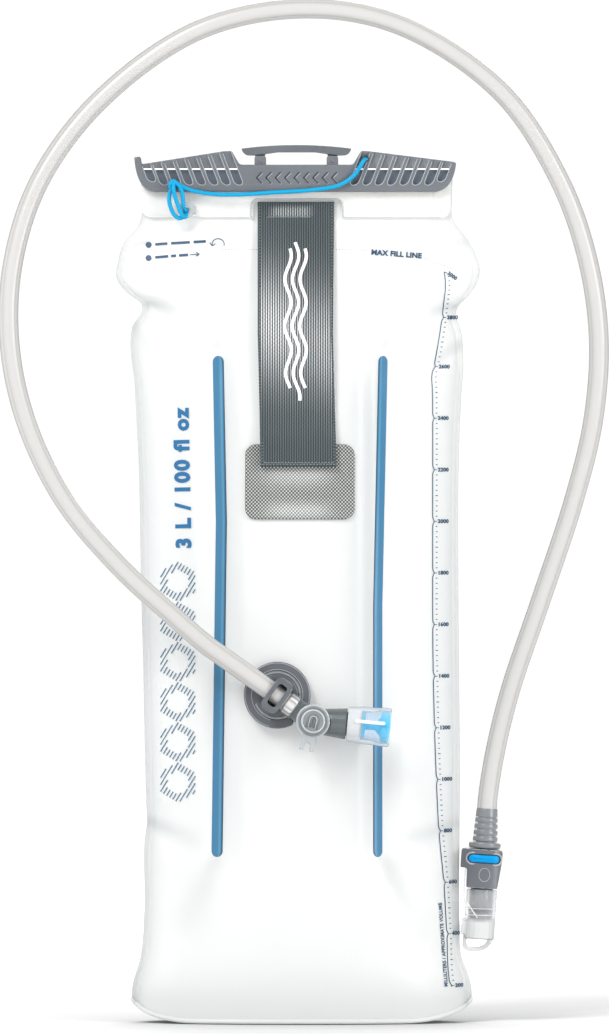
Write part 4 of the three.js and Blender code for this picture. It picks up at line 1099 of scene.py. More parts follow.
def stroke_shape(points, width):
    """A bent stroke through points."""
    p = np.array(points, float)
    direction = np.gradient(p, axis=0)
    direction /= np.linalg.norm(direction, axis=1)[:, None]
    normal = np.stack([-direction[:, 1], direction[:, 0]], axis=1) * width / 2
    n = len(p)
    return np.vstack([p - normal, p + normal]), [[i, i + 1, n + i + 1, n + i] for i in range(n - 1)]


def disc_shape(x, z, radius, sides=20):
    angle = np.arange(sides) / sides * 2 * math.pi
    return np.stack([x + radius * np.cos(angle), z + radius * np.sin(angle)], axis=1), [list(range(sides))]


def film_lift(x, z):
    return film_depth(x, z) + PRINT_LIFT


def decal(name, shapes, material, body="reservoir", depth=film_lift, slot_name="film", thickness=0.08):
    """Ink: flat shapes laid on a surface, depth(x, z) in front of the middle plane."""
    vertices, faces, count = [], [], 0
    for co, shape_faces in shapes:
        vertices.append(co)
        faces += [[i + count for i in f] for f in shape_faces]
        count += len(co)
    flat = np.vstack(vertices)
    y = -depth(flat[:, 0], flat[:, 1])
    obj = piece(name, np.stack([flat[:, 0], y, flat[:, 1]], axis=1), faces, material, smooth=False)
    solidify(obj, thickness)
    return attach(obj, body, slot_name)


# The volume scale: a line up the right side that follows the fill, with a number each 200 ml.
SCALE_Z = [18.0 + 24.7 * k for k in range(13)] + [338.1, 359.9]
scale_x = through([(17, 72.4), (18, 72.2), (43, 70.6), (67, 69.2), (92, 66.8), (118, 65.5), (165, 64.1),
                   (240, 63.8),
                   (290, 63.8), (303, 63.7), (310, 63.4), (316, 64.7), (337, 68.2), (346, 69.3), (354, 70.0),
                   (360, 69.4)])


def scale_line(z):
    """The line's x, drawn towards each number's tick."""
    pull = sum(0.75 * np.exp(-(((z - mark) / 1.1) ** 2)) for mark in SCALE_Z[:-1])
    return scale_x(z) + pull


run = np.linspace(SCALE_Z[0] - 0.6, SCALE_Z[-1], 420)
scale_shapes = [stroke_shape(np.stack([scale_line(run), run], axis=1), 0.36)]
for number, z in enumerate(SCALE_Z):
    x = float(scale_line(z))
    tilt = -0.62 if number == 14 else 0.0
    drop = 0.4 if number == 14 else 0.0
    scale_shapes.append(bar_shape(x - 0.1, z, x + 1.2, z - drop, 0.34))
    scale_shapes.append(text_shapes(str(200 * (number + 1)), 1.75, turn=tilt, place=(x + 1.7, z - drop),
                                    weight=0.04,
                                    spread=1.06, width=1.0))
    if number == 14:
        continue
    step = (SCALE_Z[number + 1] - z) / 10
    for minor in range(1, 10):
        mark_z = z + step * minor
        mark_x = float(scale_x(mark_z)) + 1.9
        reach = 0.55 if minor == 5 else 0.38
        scale_shapes.append(bar_shape(mark_x - reach, mark_z, mark_x + reach, mark_z, 0.4))
decal("volume_scale_print", scale_shapes, INK_DARK)
units = text_shapes("MILLILITERS / APPROXIMATE VOLUME", 1.6, turn=math.radians(94), place=(70.3, 17.6),
                    weight=0.03,
                    spread=1.05)
decal("scale_units_print", [units], INK_DARK)

# Capacity, reading upwards on the left.
capacity = text_shapes("3 L / 100 fl oz", 6.9, turn=math.radians(91.2), place=(-55.0, 227.4), weight=0.046,
                       spread=1.15,
                       width=1.02)
decal("capacity_print", [capacity], INK_BLUE)

# A plain band of hexagon rings filled with slanted hatching below it.
HATCH_X, HATCH_RADIUS = -58.2, (5.0, 8.4)
HATCH_LINE = np.array([0.52, 0.854])


def hexagon_reach(offset):
    """How far out a point is, measured to the flats of a hexagon."""
    angles = np.radians([0, 60, 120])
    return np.max(np.abs(offset @ np.stack([np.cos(angles), np.sin(angles)])), axis=-1)


hatch = []
normal = np.array([-HATCH_LINE[1], HATCH_LINE[0]])
for centre_z in np.linspace(115.5, 211.5, 6):
    for offset in np.arange(-9.0, 9.1, 1.72):
        travel = np.linspace(-11, 11, 221)
        points = normal * offset + travel[:, None] * HATCH_LINE
        reach = hexagon_reach(points)
        inside = (reach < HATCH_RADIUS[1]) & (reach > HATCH_RADIUS[0])
        starts = np.flatnonzero(np.diff(np.concatenate([[0], inside.astype(int), [0]])))
        for first, last in zip(starts[::2], starts[1::2]):
            if last - first > 6:
                a, b = points[first], points[last - 1]
                hatch.append(bar_shape(HATCH_X + a[0], centre_z + a[1], HATCH_X + b[0], centre_z + b[1], 0.5))
decal("hatch_print", hatch, INK_GREY)

# The dotted fill line with its mark, and two plain hints for folding and sliding the top.
dots = []
for x in np.arange(-37, 31.5, 1.48):
    dots.append(disc_shape(x, 370.6 - 0.2 * smoothstep(15, 30, x), 0.2, 8))
for x in np.arange(60.5, 73, 1.48):
    dots.append(disc_shape(x, 366.4 - (x - 60) * 0.38, 0.2, 8))
decal("fill_dots_print", dots, INK_GREY)
mark = text_shapes("MAX FILL LINE", 2.4, place=(34.4, 369.3), turn=-0.075, weight=0.045, spread=1.05,
                   width=1.05)
decal("fill_mark_print", [mark], INK_DARK)
hints = [
    disc_shape(-72.4, 373.0, 1.45), disc_shape(-72.4, 366.6, 1.45),
    bar_shape(-69.2, 373.2, -63.4, 373.6, 1.2), bar_shape(-61.6, 373.7, -52.6, 374.2, 1.2),
    bar_shape(-50.8, 374.3, -44.9, 374.6, 1.2), bar_shape(-69.2, 366.9, -63.0, 367.4, 1.2),
    bar_shape(-61.6, 367.5, -59.2, 367.7, 1.2), bar_shape(-57.8, 367.8, -53.4, 368.1, 1.2),
    bar_shape(-52.6, 368.2, -48.2, 368.4, 0.4), bar_shape(-48.0, 368.4, -49.6, 369.4, 0.4),
    bar_shape(-48.0, 368.4, -49.6, 367.4, 0.4),
    stroke_shape([(-39 + 2.9 * math.cos(a),
                   373.3 + 2.6 * math.sin(a)) for a in np.linspace(-0.3, math.pi + 0.4, 18)], 0.4),
    bar_shape(-41.9, 372.4, -43.0, 374.0, 0.4), bar_shape(-41.9, 372.4, -40.3, 373.4, 0.4),
]
decal("fold_hint_print", hints, INK_DARK)


def strap_lift(x, z):
    return strap_back(x, z, (x - strap_centre(z)) / STRAP_HALF) + STRAP_THICK + 0.14


# Plain white waves printed up the strap, and its sewn bar tacks.
waves = []
for offset, reach in ((-3.6, (304, 371)), (0.0, (298, 374)), (3.6, (304, 371))):
    run = np.linspace(*reach, 60)
    centre = strap_centre(run) + offset
    waves.append(stroke_shape(np.stack([centre + 1.5 * np.sin(run / 3.6), run], axis=1), 1.5))
decal("strap_wave_print", waves, INK_WHITE, depth=strap_lift, slot_name="webbing")

stitches = []
for x in np.arange(-15.4, 5.2, 0.95):
    stitches.append(bar_shape(x, 386.3, x + 0.8, 386.3, 0.45))
for row in (267.6, 268.4):
    for x in np.arange(-17.6 + (row - 267.6), 16.6, 1.6):
        stitches.append(bar_shape(x, row, x + 1.0, row, 0.42))
decal("strap_stitching", stitches, THREAD, depth=strap_lift, slot_name="webbing", thickness=0.3)

# ---------------------------------------------------------------- neck, slide bar and handle

refine("collar_strip", FROSTED, "frosted", 0.25)
refine("mouth_flap", FILM, "film", 0.2)
refine("mouth_rail_inner", FROSTED, "frosted", 0.15)
refine("mouth_rail_outer", FROSTED, "frosted", 0.15)
soften("lanyard_tab", CLEAR, "clear", 0.22, 4)


def outline_pipe(name, points, y, radius, material, body="reservoir", closed=False, slot_name="clear"):
    """A fine raised line at depth y through (x, z) points."""
    track = [(x, y, z) for x, z in points]
    if closed:
        track.append(track[0])
    steps = []
    for a, b in zip(track[:-1], track[1:]):
        gap = np.linalg.norm(np.subtract(b, a))
        if gap < 0.01:
            continue
        count = max(2, int(gap / 0.8))
        steps += [np.array(a) + (np.array(b) - a) * k / count for k in range(count)]
    steps.append(np.array(track[-1], float))
    obj = pipe(name, steps, radius, material, sides=8)
    return attach(obj, body, slot_name)


slot_rim = rounded_outline(-22.9, 20.6, 386.2, 394.9, 2.8, steps=6)[7:21]
slot_rim = [(20.9, 386.2)] + [tuple(q) for q in slot_rim] + [(-23.2, 386.2)]
outline_pipe("strap_slot_rim", slot_rim, -3.0, 0.36, CLEAR)
arc = [(-68 + 8 * math.cos(a), 394.4 + 8 * math.sin(a)) for a in np.linspace(math.pi, math.pi * 1.5, 12)]
outline_pipe("strip_edge_left", [(-76.0, 398.0)] + arc + [(-24.5, 386.5)], -2.75, 0.22, FROSTED,
             slot_name="frosted")
tab_line = [(64.6, 398.0), (64.9, 388.0)]
outline_pipe("strip_edge_right", tab_line, -2.75, 0.2, FROSTED)
outline_pipe("strip_edge_lower", [(22.0, 386.5), (64.9, 386.5)], -2.75, 0.22, FROSTED, slot_name="frosted")
ear = [(66.0, 387.0), (68.5, 386.2), (70.6, 387.0), (72.2, 389.5), (72.4, 398.0)]
outline_pipe("strip_edge_tab", ear, -2.75, 0.2, FROSTED)

# The slide bar, in its own frame of sizes: the grips are two steps deep, with a glowing strip of painted
# highlight on the ledge between them.
BAR = {"x": -1.5, "left": -79.3, "right": 75.1, "bottom": 398.3, "recess": 411.4, "top": 418.0, "front": -6.5,
       "back": 5.0}
GRIP = {"pitch": 5.95, "first": 27.3, "count": 8, "half": 1.85, "lean": math.radians(21), "bottom": 401.6}
LEDGE_Z = 409.2


def quadratic(a, b, c, steps=10):
    t = np.linspace(0, 1, steps + 1)[1:, None]
    return ((1 - t) ** 2 * np.array(a) + 2 * t * (1 - t) * np.array(b) + t ** 2 * np.array(c)).tolist()


def bar_outline():
    x, left, right, bottom, recess, top = (BAR[k] for k in ("x", "left", "right", "bottom", "recess", "top"))
    points = [(left + 10, bottom), (right - 9.5, bottom)]
    points += quadratic(points[-1], (right - 1.5, bottom + 1.5), (right, 411.5))
    points += [(right, 412.6), (x + 35, top - 0.2), (x + 31, top), (x + 28, recess + 1.4)]
    points += quadratic(points[-1], (x + 27.4, recess), (x + 25.5, recess), 5)
    points += [(x - 25.5, recess)]
    points += quadratic(points[-1], (x - 27.4, recess), (x - 28, recess + 1.4), 5)
    points += [(x - 31, top), (x - 35, top - 0.2), (left + 3.6, 411.6), (left + 3.2, 415.2), (left, 415.2)]
    points += quadratic(points[-1], (left + 1, bottom + 0.6), (left + 10, bottom))[:-1]
    return points


def leaned(side, number, local):
    """Points across and up one grip, leaned outwards with height, as (x, z)."""
    foot = GRIP["bottom"] + (1.6 if number == GRIP["count"] - 1 else 0)
    centre = BAR["x"] + side * (GRIP["first"] + number * GRIP["pitch"])
    local = np.asarray(local, float)
    x = centre + local[:, 0] / math.cos(GRIP["lean"]) + local[:, 1] * math.tan(GRIP["lean"]) * side
    return np.stack([x, foot + local[:, 1]], axis=1)


def grip_cutter(side, number, y0, y1, low, high):
    """One leaning grip recess between two heights, round at its foot when it starts at the foot."""
    half = GRIP["half"]
    foot = GRIP["bottom"] + (1.6 if number == GRIP["count"] - 1 else 0)
    base = 0.0 if low is None else low - foot
    tip = 24.0 if high is None else high - foot
    if low is None:
        corner = [(half * math.cos(a), half + half * math.sin(a)) for a in np.linspace(math.pi, 2 * math.pi,
                                                                                       9)]
    else:
        corner = [(-half, base), (half, base)]
    local = np.array(corner + [(half, tip), (-half, tip)])
    return slab("cutter", leaned(side, number, local), y0, y1)


def build_slide_bar():
    x = BAR["x"]
    bar = slab("slide_bar_shell", bar_outline(), BAR["front"], BAR["back"], GREY)
    rounded(bar, 0.95, segments=3, angle=40)
    lugs = []
    for leg in (x - 17.3, x + 17.3):
        shape = rounded_outline(leg - 2.8, leg + 2.8, 409.4, 415.6, 1.2, 4)
        lugs += [slab("lug", shape, -4.8, -2.9), slab("lug", shape, 2.9, 4.2)]
    combine(bar, "UNION", lugs)
    channel_profile = [(-3.0, 396.3), (2.7, 396.3), (2.7, 409.5), (-4.4, 409.5), (-4.4, 404.1), (-3.0, 404.1)]
    channel = piece(
        "channel", [(px, y, z) for px in (-76.5, 78.0) for y, z in channel_profile],
        [[0, 1, 2, 3, 4, 5],
         [11, 10, 9, 8, 7, 6]] + [[i, i + 6, (i + 1) % 6 + 6, (i + 1) % 6] for i in range(6)], None, False)
    cutters = [channel]
    for side in (-1, 1):
        for number in range(GRIP["count"]):
            cutters.append(grip_cutter(side, number, -8.0, -4.75, None, LEDGE_Z - 0.25))
            cutters.append(grip_cutter(side, number, -8.0, -5.6, LEDGE_Z - 0.3, None))
            cutters.append(grip_cutter(side, number, 3.8, 8.0, None, None))
    for cutter in cutters[1:]:
        cutter.data.materials.append(GREY_RECESS_SHADE)
    joined = cutters[1]
    for other in cutters[2:]:
        work = bmesh.new()
        work.from_mesh(joined.data)
        work.from_mesh(other.data)
        work.to_mesh(joined.data)
        work.free()
        bpy.data.objects.remove(other)
    bar.data.materials.append(GREY_RECESS_SHADE)
    modify(bar, "BOOLEAN", name="channel", operation="DIFFERENCE", object=channel, solver="EXACT")
    modify(bar, "BOOLEAN", name="grips", operation="DIFFERENCE", object=joined, solver="EXACT", use_self=True)
    bake(bar)
    bpy.data.objects.remove(channel)
    bpy.data.objects.remove(joined)
    hole = pipe("hole", [(CORD_HOLE[0], -9, CORD_HOLE[1]), (CORD_HOLE[0], 9, CORD_HOLE[1])], 1.7, None,
                sides=20)
    combine(bar, "DIFFERENCE", [hole])
    # The small rounding takes the highlight grey: painted highlight on the edges.
    rounded(bar, 0.38, segments=2, angle=25, edge_material=GREY_HIGHLIGHT)
    # Deep grip floors take the painted recess shade; the shallow step goes back to plain grey.
    for polygon in bar.data.polygons:
        y = polygon.center.y / MM
        if abs(polygon.center.x / MM - x) > 24 and polygon.normal.y < -0.9:
            if -4.9 < y < -4.6:
                polygon.material_index = 1
            elif -5.7 < y < -5.5:
                polygon.material_index = 0
    attach(bar, "slider", "grey_plastic", "slide_bar")


def bar_top(x):
    """Height of the bar's upper edge."""
    away = np.abs(np.asarray(x, float) - BAR["x"])
    left = np.interp(away, [28, 31, 35, 74.2], [BAR["recess"] + 1.4, BAR["top"], BAR["top"] - 0.2, 411.6])
    right = np.interp(away, [28, 31, 35, 76.6], [BAR["recess"] + 1.4, BAR["top"], BAR["top"] - 0.2, 412.6])
    return np.where(np.asarray(x) < BAR["x"], left, right)


def build_bar_edges():
    """The fine light lips round the grips."""
    half = GRIP["half"]
    for side in (-1, 1):
        for number in range(GRIP["count"]):
            foot = [((half + 0.15) * math.cos(a), half + (half + 0.15) * math.sin(a))
                    for a in np.linspace(math.pi, 2 * math.pi, 9)]
            rise = np.linspace(half, 17, 24)
            lip = [(-half - 0.15, h) for h in rise[::-1]] + foot + [(half + 0.15, h) for h in rise]
            points = leaned(side, number, lip)
            points = points[points[:, 1] < bar_top(points[:, 0]) - 0.7]
            name = "grip_highlight_lip_%s_%d" % ("left" if side < 0 else "right", number + 1)
            # The lips are in the highlight grey: painted highlight round each grip.
            outline_pipe(name, [tuple(q) for q in points], BAR["front"] + 0.02, 0.23, GREY_HIGHLIGHT,
                         body="slider",
                         slot_name="grey_plastic")


build_slide_bar()
build_bar_edges()
# Thin glowing strips along the ledge in the grips: painted highlight.
for side, reach in ((-1, (-76.0, -29.5)), (1, (26.5, 74.0))):
    ledge = slab("slide_bar_highlight_ledge_" + ("left" if side < 0 else "right"),
                 [(reach[0], LEDGE_Z - 0.3), (reach[1], LEDGE_Z - 0.3), (reach[1], LEDGE_Z + 0.35),
                  (reach[0], LEDGE_Z + 0.35)], -6.4, -4.9, LEDGE_HIGHLIGHT)
    attach(ledge, "slider", "grey_plastic")
hole_x, hole_z = CORD_HOLE
grommet = pipe("cord_hole_rim", [(hole_x, y, hole_z) for y in (-6.7, -6.0, 0, 4.8)], 1.85, RELIEF_DARK,
               bore=1.04, sides=24)
attach(grommet, "slider", "grey_plastic")
soften("carry_handle", BODY, "grey_plastic", 0.26, 10)
refine("handle_pin_left", PIN, "pin", 0.2)
refine("handle_pin_right", PIN, "pin", 0.2)

# Chevrons on the bar's face: a darker copy over a copy in the highlight grey, set a little down and right,
# whose edge shows as a painted highlight.
chevrons = {"dark": [], "light": []}
for k in range(-4, 5):
    for arm in (-1, 1):
        centre = -1.5 + k * 4.5
        for tone, shift, width in (("light", 0.22, 1.0), ("dark", 0.0, 0.8)):
            chevrons[tone].append(bar_shape(centre + 1.5 + shift, 405.0 - shift + 2.7 * arm,
                                            centre - 1.1 + shift,
                                            405.0 - shift, width))
for tone, material, lift in (("light", GREY_HIGHLIGHT, 0.02), ("dark", RELIEF_DARK, 0.10)):
    decal("slide_bar_chevrons_" + tone, chevrons[tone], material, body="slider",
          depth=lambda x, z, lift=lift: -BAR["front"] + lift + 0 * x, slot_name="grey_plastic",
          thickness=0.16)


# ---------------------------------------------------------------- lanyard cord

def build_lanyard():
    """Blue cord from the hole in the slide bar along its front, knotted, with two loops through the tab."""
    hole_x, hole_z = CORD_HOLE
    main = spline([
        (hole_x, 6.2, hole_z), (hole_x, 2, hole_z), (hole_x, -5.6, hole_z),
        (hole_x - 1.2, -7.9, hole_z - 1.4),
        (26.5, -8.0, 406.6), (19.6, -8.0, 401.7), (7.4, -8.0, 399.3), (-12, -8.0, 398.0),
        (-31.1, -8.0, 396.9),
        (-44.4, -8.0, 397.5), (-54.2, -8.2, 399.8), (-58.8, -8.8, 402.4), (-60.4, -9.6, 403.4),
        (-61.6, -9.8, 402.6),
        (-62.0, -9.2, 400.8), (-60.6, -8.2, 399.8), (-59.2, -7.8, 400.4),
    ], 190)
    cord = pipe("lanyard_cord_run", main, CORD_RADIUS, CORD, sides=14)
    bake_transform(cord)
    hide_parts("lanyard_cord")
    loops = {
        "lanyard_loop_left": [
            (-60.2, -8.2, 401.2), (-61.9, -8.8, 398.6), (-62.5, -9.0, 395.0), (-61.7, -9.0, 390.6),
            (-60.0, -9.0, 387.2),
            (-57.9, -8.7, 385.6), (-56.2, -8.0, 385.9), (-55.2, -7.0, 387.4), (-54.8, -5.8, 389.0),
            (-54.6, -4.4, 389.8)],
        "lanyard_loop_middle": [
            (-60.4, -9.4, 402.6), (-60.4, -10.0, 399.8), (-59.8, -10.3, 396.4), (-58.4, -10.4, 392.2),
            (-57.0, -10.2, 388.6), (-55.8, -9.4, 386.4), (-54.7, -8.2, 386.2), (-54.2, -6.8, 387.6),
            (-54.0, -5.4, 389.2), (-53.9, -4.2, 389.8)],
        "lanyard_loop_right": [
            (-59.8, -9.2, 403.0), (-57.6, -9.6, 401.0), (-56.2, -9.7, 397.8), (-55.8, -9.6, 393.8),
            (-55.5, -9.2, 391.0),
            (-55.0, -8.0, 389.6), (-54.5, -6.2, 389.6), (-54.3, -4.4, 390.0)],
    }
    for name, points in loops.items():
        loop = pipe(name, spline(points, 70), CORD_RADIUS, CORD, sides=14)
        attach(loop, "reservoir", "cord")


build_lanyard()

# ---------------------------------------------------------------- drink tube

plug_axis = np.array([math.sin(PLUG_TILT), 0, math.cos(PLUG_TILT)])
tail_axis = np.array([-math.cos(TUBE_PITCH), 0, math.sin(TUBE_PITCH)])
tube_points = [PLUG_ORIGIN + plug_axis * h for h in (22, 32, 44)]
tube_points += [np.array(p) for p in TUBE_LOOP]
tube_points += [HUB + tail_axis * d for d in (62, 50, 38, 26, 10.5)]
tube = pipe("drink_tube", spline(tube_points, 420), TUBE_RADIUS, TUBE, bore=TUBE_BORE, sides=32)
# The axis leans forward, so the end by the valve, back at x = 6 mm in front of the bag, is past its end too.
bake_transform(tube)
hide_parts("tube_arch", "tube_tail")

# ---------------------------------------------------------------- connector

port = soften("side_port", CLEAR_PORT, "clear", 0.26, 12)
port_co = points_of(port) - PLUG_ORIGIN
port_x = port_co[:, 0] * plug_axis[2] - port_co[:, 2] * plug_axis[0]
port_z = port_co @ plug_axis
paint(port, "frost_and_glow", smoothstep(13.8, 17.4, -port_z) * (port_x > -8.6) + 0.05 - 0.3 * (port_x < -9.0))
# Fine frosted lines on the port: painted highlight streaks along its curves and edges.
for number, (height, wire) in enumerate(((-9.8, 0.15), (-12.9, 0.2))):
    angle = np.linspace(math.radians(185), math.radians(355), 30)
    arc = np.stack([7.35 * np.cos(angle), 7.35 * np.sin(angle), height + 0.25 * np.cos(angle)], axis=1)
    highlight_streak = pipe("port_highlight_ring_%d" % (number + 1), turned(arc, PLUG_ORIGIN, PLUG_TILT), wire, FROSTED, sides=8)
    attach(highlight_streak, "reservoir", "clear")
for name, start, stop, wire in (("port_web_edge_highlight", (-8.2, -4.6, -5.5), (-1.4, -7.35, -14.2), 0.3),
                                ("port_edge_highlight_left", (-7.2, -2.0, -15.5), (-7.2, -2.0, -2.5), 0.2),
                                ("port_edge_highlight_right", (7.2, -2.0, -15.5), (7.2, -2.0, -2.5), 0.2)):
    run = np.linspace(0, 1, 12)[:, None]
    line = np.array(start) * (1 - run) + np.array(stop) * run
    line = line + np.array([0, -0.6, 0]) * np.sin(run * math.pi) * (wire > 0.25)
    highlight_streak = pipe(name, turned(line, PLUG_ORIGIN, PLUG_TILT), wire, FROSTED, sides=8)
    attach(highlight_streak, "reservoir", "clear")
soften("connector_body", BODY, "grey_plastic", 0.27, 6)
for node, material, bevel, slot_name in (
    ("port_poppet", GREY, 0.1, "grey_plastic"),
    ("port_spring", PIN, 0, "spring_steel"),
    ("plug_barrel", BARREL, 0.15, "dark_plastic"),
    ("plug_o_ring", SEAL, 0, "seal"),
):
    refine(node, material, slot_name, bevel)
for node in ("button_spring_left", "button_spring_right"):
    coil = refine(node, PIN, "spring_steel", 0)
    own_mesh(coil)

COLLAR_HALF = (11.4, 8.6)  # half width and half depth of the connector's oval plan


def collar_front(x):
    return -COLLAR_HALF[1] * np.sqrt(1 - (np.asarray(x) / COLLAR_HALF[0]) ** 2)


def stadium(x0, x1, z0, z1, steps=10):
    return rounded_outline(x0, x1, z0, z1, (z1 - z0) / 2 - 0.01, steps)


def build_button():
    """The blue bar, round at its ends and crowned, with two arms that reach past the plug."""
    outline = stadium(-7.35, 7.35, 12.4, 16.0)
    shares = [(0.05, 1.0), (0.6, 1.0), (1.0, 1.0), (1.0, 0.25), (0.97, 0.06), (0.9, 0.0), (0.7, -0.12),
              (0.4, -0.2), (0.05, -0.22)]
    centre = np.array([0, 14.2])
    layers = []
    for share, depth in shares:
        ring = centre + (outline - centre) * [1 - (1 - share) * 0.25, share]
        layers.append(np.stack([ring[:, 0], collar_front(ring[:, 0]) - 0.35 + depth, ring[:, 1]], axis=1))
    count, rows = len(outline), len(layers)
    faces = ring_faces(count, rows, flip=True)
    faces.append([(rows - 1) * count + i for i in reversed(range(count))])
    faces.append(list(range(count)))
    obj = piece("release_button_cap", turned(np.vstack(layers), PLUG_ORIGIN, PLUG_TILT), faces, BUTTON)
    attach(obj, "button", "button", "release_button")
    for side in (-1, 1):
        x0, x1 = sorted((side * 5.5, side * 7.2))
        shape = rounded_outline(x0, x1, 12.7, 15.7, 0.5, 3)
        arm = slab("release_button_arm_" + ("left" if side < 0 else "right"), shape, -6.6, 3.0, BUTTON)
        move_points(arm, turned(points_of(arm), PLUG_ORIGIN, PLUG_TILT))
        attach(arm, "button", "button")


def build_button_rim():
    """A raised lip on the collar round the button, in the painted highlight grey, and a dark line of painted
    shadow in the gap inside it.
    """
    outline = stadium(-7.6, 7.6, 12.15, 16.25, 14)
    track = np.stack([outline[:, 0], collar_front(outline[:, 0]) - 0.05, outline[:, 1]], axis=1)
    gap = pipe("button_gap_shadow", turned(np.vstack([track, track[:2]]), PLUG_ORIGIN, PLUG_TILT), 0.3, SEAL,
               sides=8)
    attach(gap, "connector", "grey_plastic")
    outline = stadium(-8.3, 8.3, 11.5, 16.9, 14)
    track = np.stack([outline[:, 0], collar_front(outline[:, 0]) + 0.15, outline[:, 1]], axis=1)
    track = np.vstack([track, track[:2]])
    rim = pipe("button_rim", turned(track, PLUG_ORIGIN, PLUG_TILT), 0.55, GREY_HIGHLIGHT, sides=10)
    attach(rim, "connector", "grey_plastic")


def build_boot():
    """The ribbed sleeve: five rings joined front and back, open at the sides where the tube shows."""
    start, sleeve, top = 19.1, 22.2, 38.3
    heights, angles = np.linspace(start, top, 130), np.arange(48) / 48 * 2 * math.pi
    z, a = np.meshgrid(heights, angles, indexing="ij")
    share = (z - sleeve) / (top - sleeve)
    ring = 6.0 - 0.95 * share
    phase = ((z - sleeve - 0.6) % 3.05) / 3.05
    gap = smoothstep(0.0, 0.1, phase - 0.55) * (1 - smoothstep(0.0, 0.1, phase - 0.88)) * (share < 0.75)
    front = smoothstep(0.5, 0.75, np.abs(np.sin(a)))
    radius = ring - gap * (0.12 + 0.26 * front) + 0.08 * np.sin(phase / 0.55
                                                                * math.pi) * (phase < 0.55) * (share < 0.75)
    base = 7.7 - 0.75 * np.abs((z - start - 1.5) / 1.55) ** 4
    radius = np.where(z < sleeve, base, radius)
    radius = radius - 0.12 * smoothstep(top - 0.8, top, z)
    vertices = np.stack([radius * np.cos(a), radius * np.sin(a), z], axis=-1)
    count, rows = len(angles), len(heights)
    inner = vertices.copy()
    inner[..., 0], inner[..., 1] = 4.8 * np.cos(a), 4.8 * np.sin(a)
    faces = ring_faces(count, rows)
    total = count * rows
    for j, flip in ((0, False), (rows - 1, True)):
        for i in range(count):
            k = (i + 1) % count
            quad = [j * count + k, j * count + i, total + j * count + i, total + j * count + k]
            faces.append(quad[::-1] if flip else quad)
    faces += ring_faces(count, rows, first=total, flip=True)
    points = turned(np.vstack([vertices.reshape(-1, 3), inner.reshape(-1, 3)]), PLUG_ORIGIN, PLUG_TILT)
    obj = piece("strain_relief_boot", points, faces, BOOT)
    obj.data.materials.append(WINDOW)
    for index, polygon in enumerate(obj.data.polygons[:(rows - 1) * count]):
        j, i = divmod(index, count)
        if gap[j, i] > 0.5 and front[j, i] < 0.3:
            polygon.material_index = 1
    attach(obj, "connector", "boot", "strain_relief")


def build_collar_mark():
    """A plain moulded ring under the button, in the painted highlight grey."""
    angle = np.linspace(0, 2 * math.pi, 41)
    x, z = 0.6 + 2.6 * np.cos(angle), 6.6 + 3.2 * np.sin(angle)
    track = np.stack([x, collar_front(x) + 0.12, z], axis=1)
    ring = pipe("collar_mark", turned(track, PLUG_ORIGIN, PLUG_TILT), 0.2, GREY_HIGHLIGHT, sides=8)
    attach(ring, "connector", "grey_plastic")


def build_collar_lips():
    """Fine lines of painted highlight along the collar's top and bottom."""
    for name, x0, x1, z in (("collar_highlight_top", -10.3, 8.4, 18.5), ("collar_highlight_bottom", -7.3, 7.0, 0.35)):
        x = np.linspace(x0, x1, 30)
        track = np.stack([x, collar_front(x) + 0.28, np.full(30, z)], axis=1)
        lip = pipe(name, turned(track, PLUG_ORIGIN, PLUG_TILT), 0.24, GREY_HIGHLIGHT, sides=8)
        attach(lip, "connector", "grey_plastic")


build_collar_lips()
build_collar_mark()
build_button()
build_button_rim()
build_boot()

# ---------------------------------------------------------------- valve and clip

soften("valve_body", GREY_DARK, "dark_plastic", 0.26, 7)
soften("clip_collar", GREY_CLIP, "grey_plastic", 0.26, 9)
soften("clip_hook", GREY_CLIP, "grey_plastic", 0.3, 9)
soften("shutoff_lever", CLEAR_LEVER, "clear", 0.22, 5)
sheath = soften("bite_sheath", CLEAR_SOFT, "clear_soft", 0.26, 5)
sheath_co = points_of(sheath) - HUB
sheath_run = sheath_co @ [math.cos(math.radians(5)), 0, -math.sin(math.radians(5))]
# Frost near the spigot and over the back half; on this sheath the frost also glows, a painted light.
paint(sheath, "frost_and_glow", np.maximum(0.62 * (1 - smoothstep(21.5, 24.0, sheath_run)),
                                 0.95 * smoothstep(-1.0, 2.5, sheath_co[:, 1])))
soften("bite_plug", SILICONE, "silicone", 0.24, 7)
refine("shutoff_core", GREY_DARK, "dark_plastic", 0.2)
refine("core_o_ring", SEAL, "seal", 0)

OUTLET_ANGLE = math.radians(5)
LEVER_ANGLE = math.radians(13.4)


def ring_on_knob(name, radius, wire, y, material):
    angle = np.linspace(0, 2 * math.pi, 49)
    track = np.stack([radius * np.cos(angle), np.full(49, y), radius * np.sin(angle)], axis=1) + HUB
    ring = pipe(name, track, wire, material, sides=10)
    attach(ring, "shutoff", "clear")


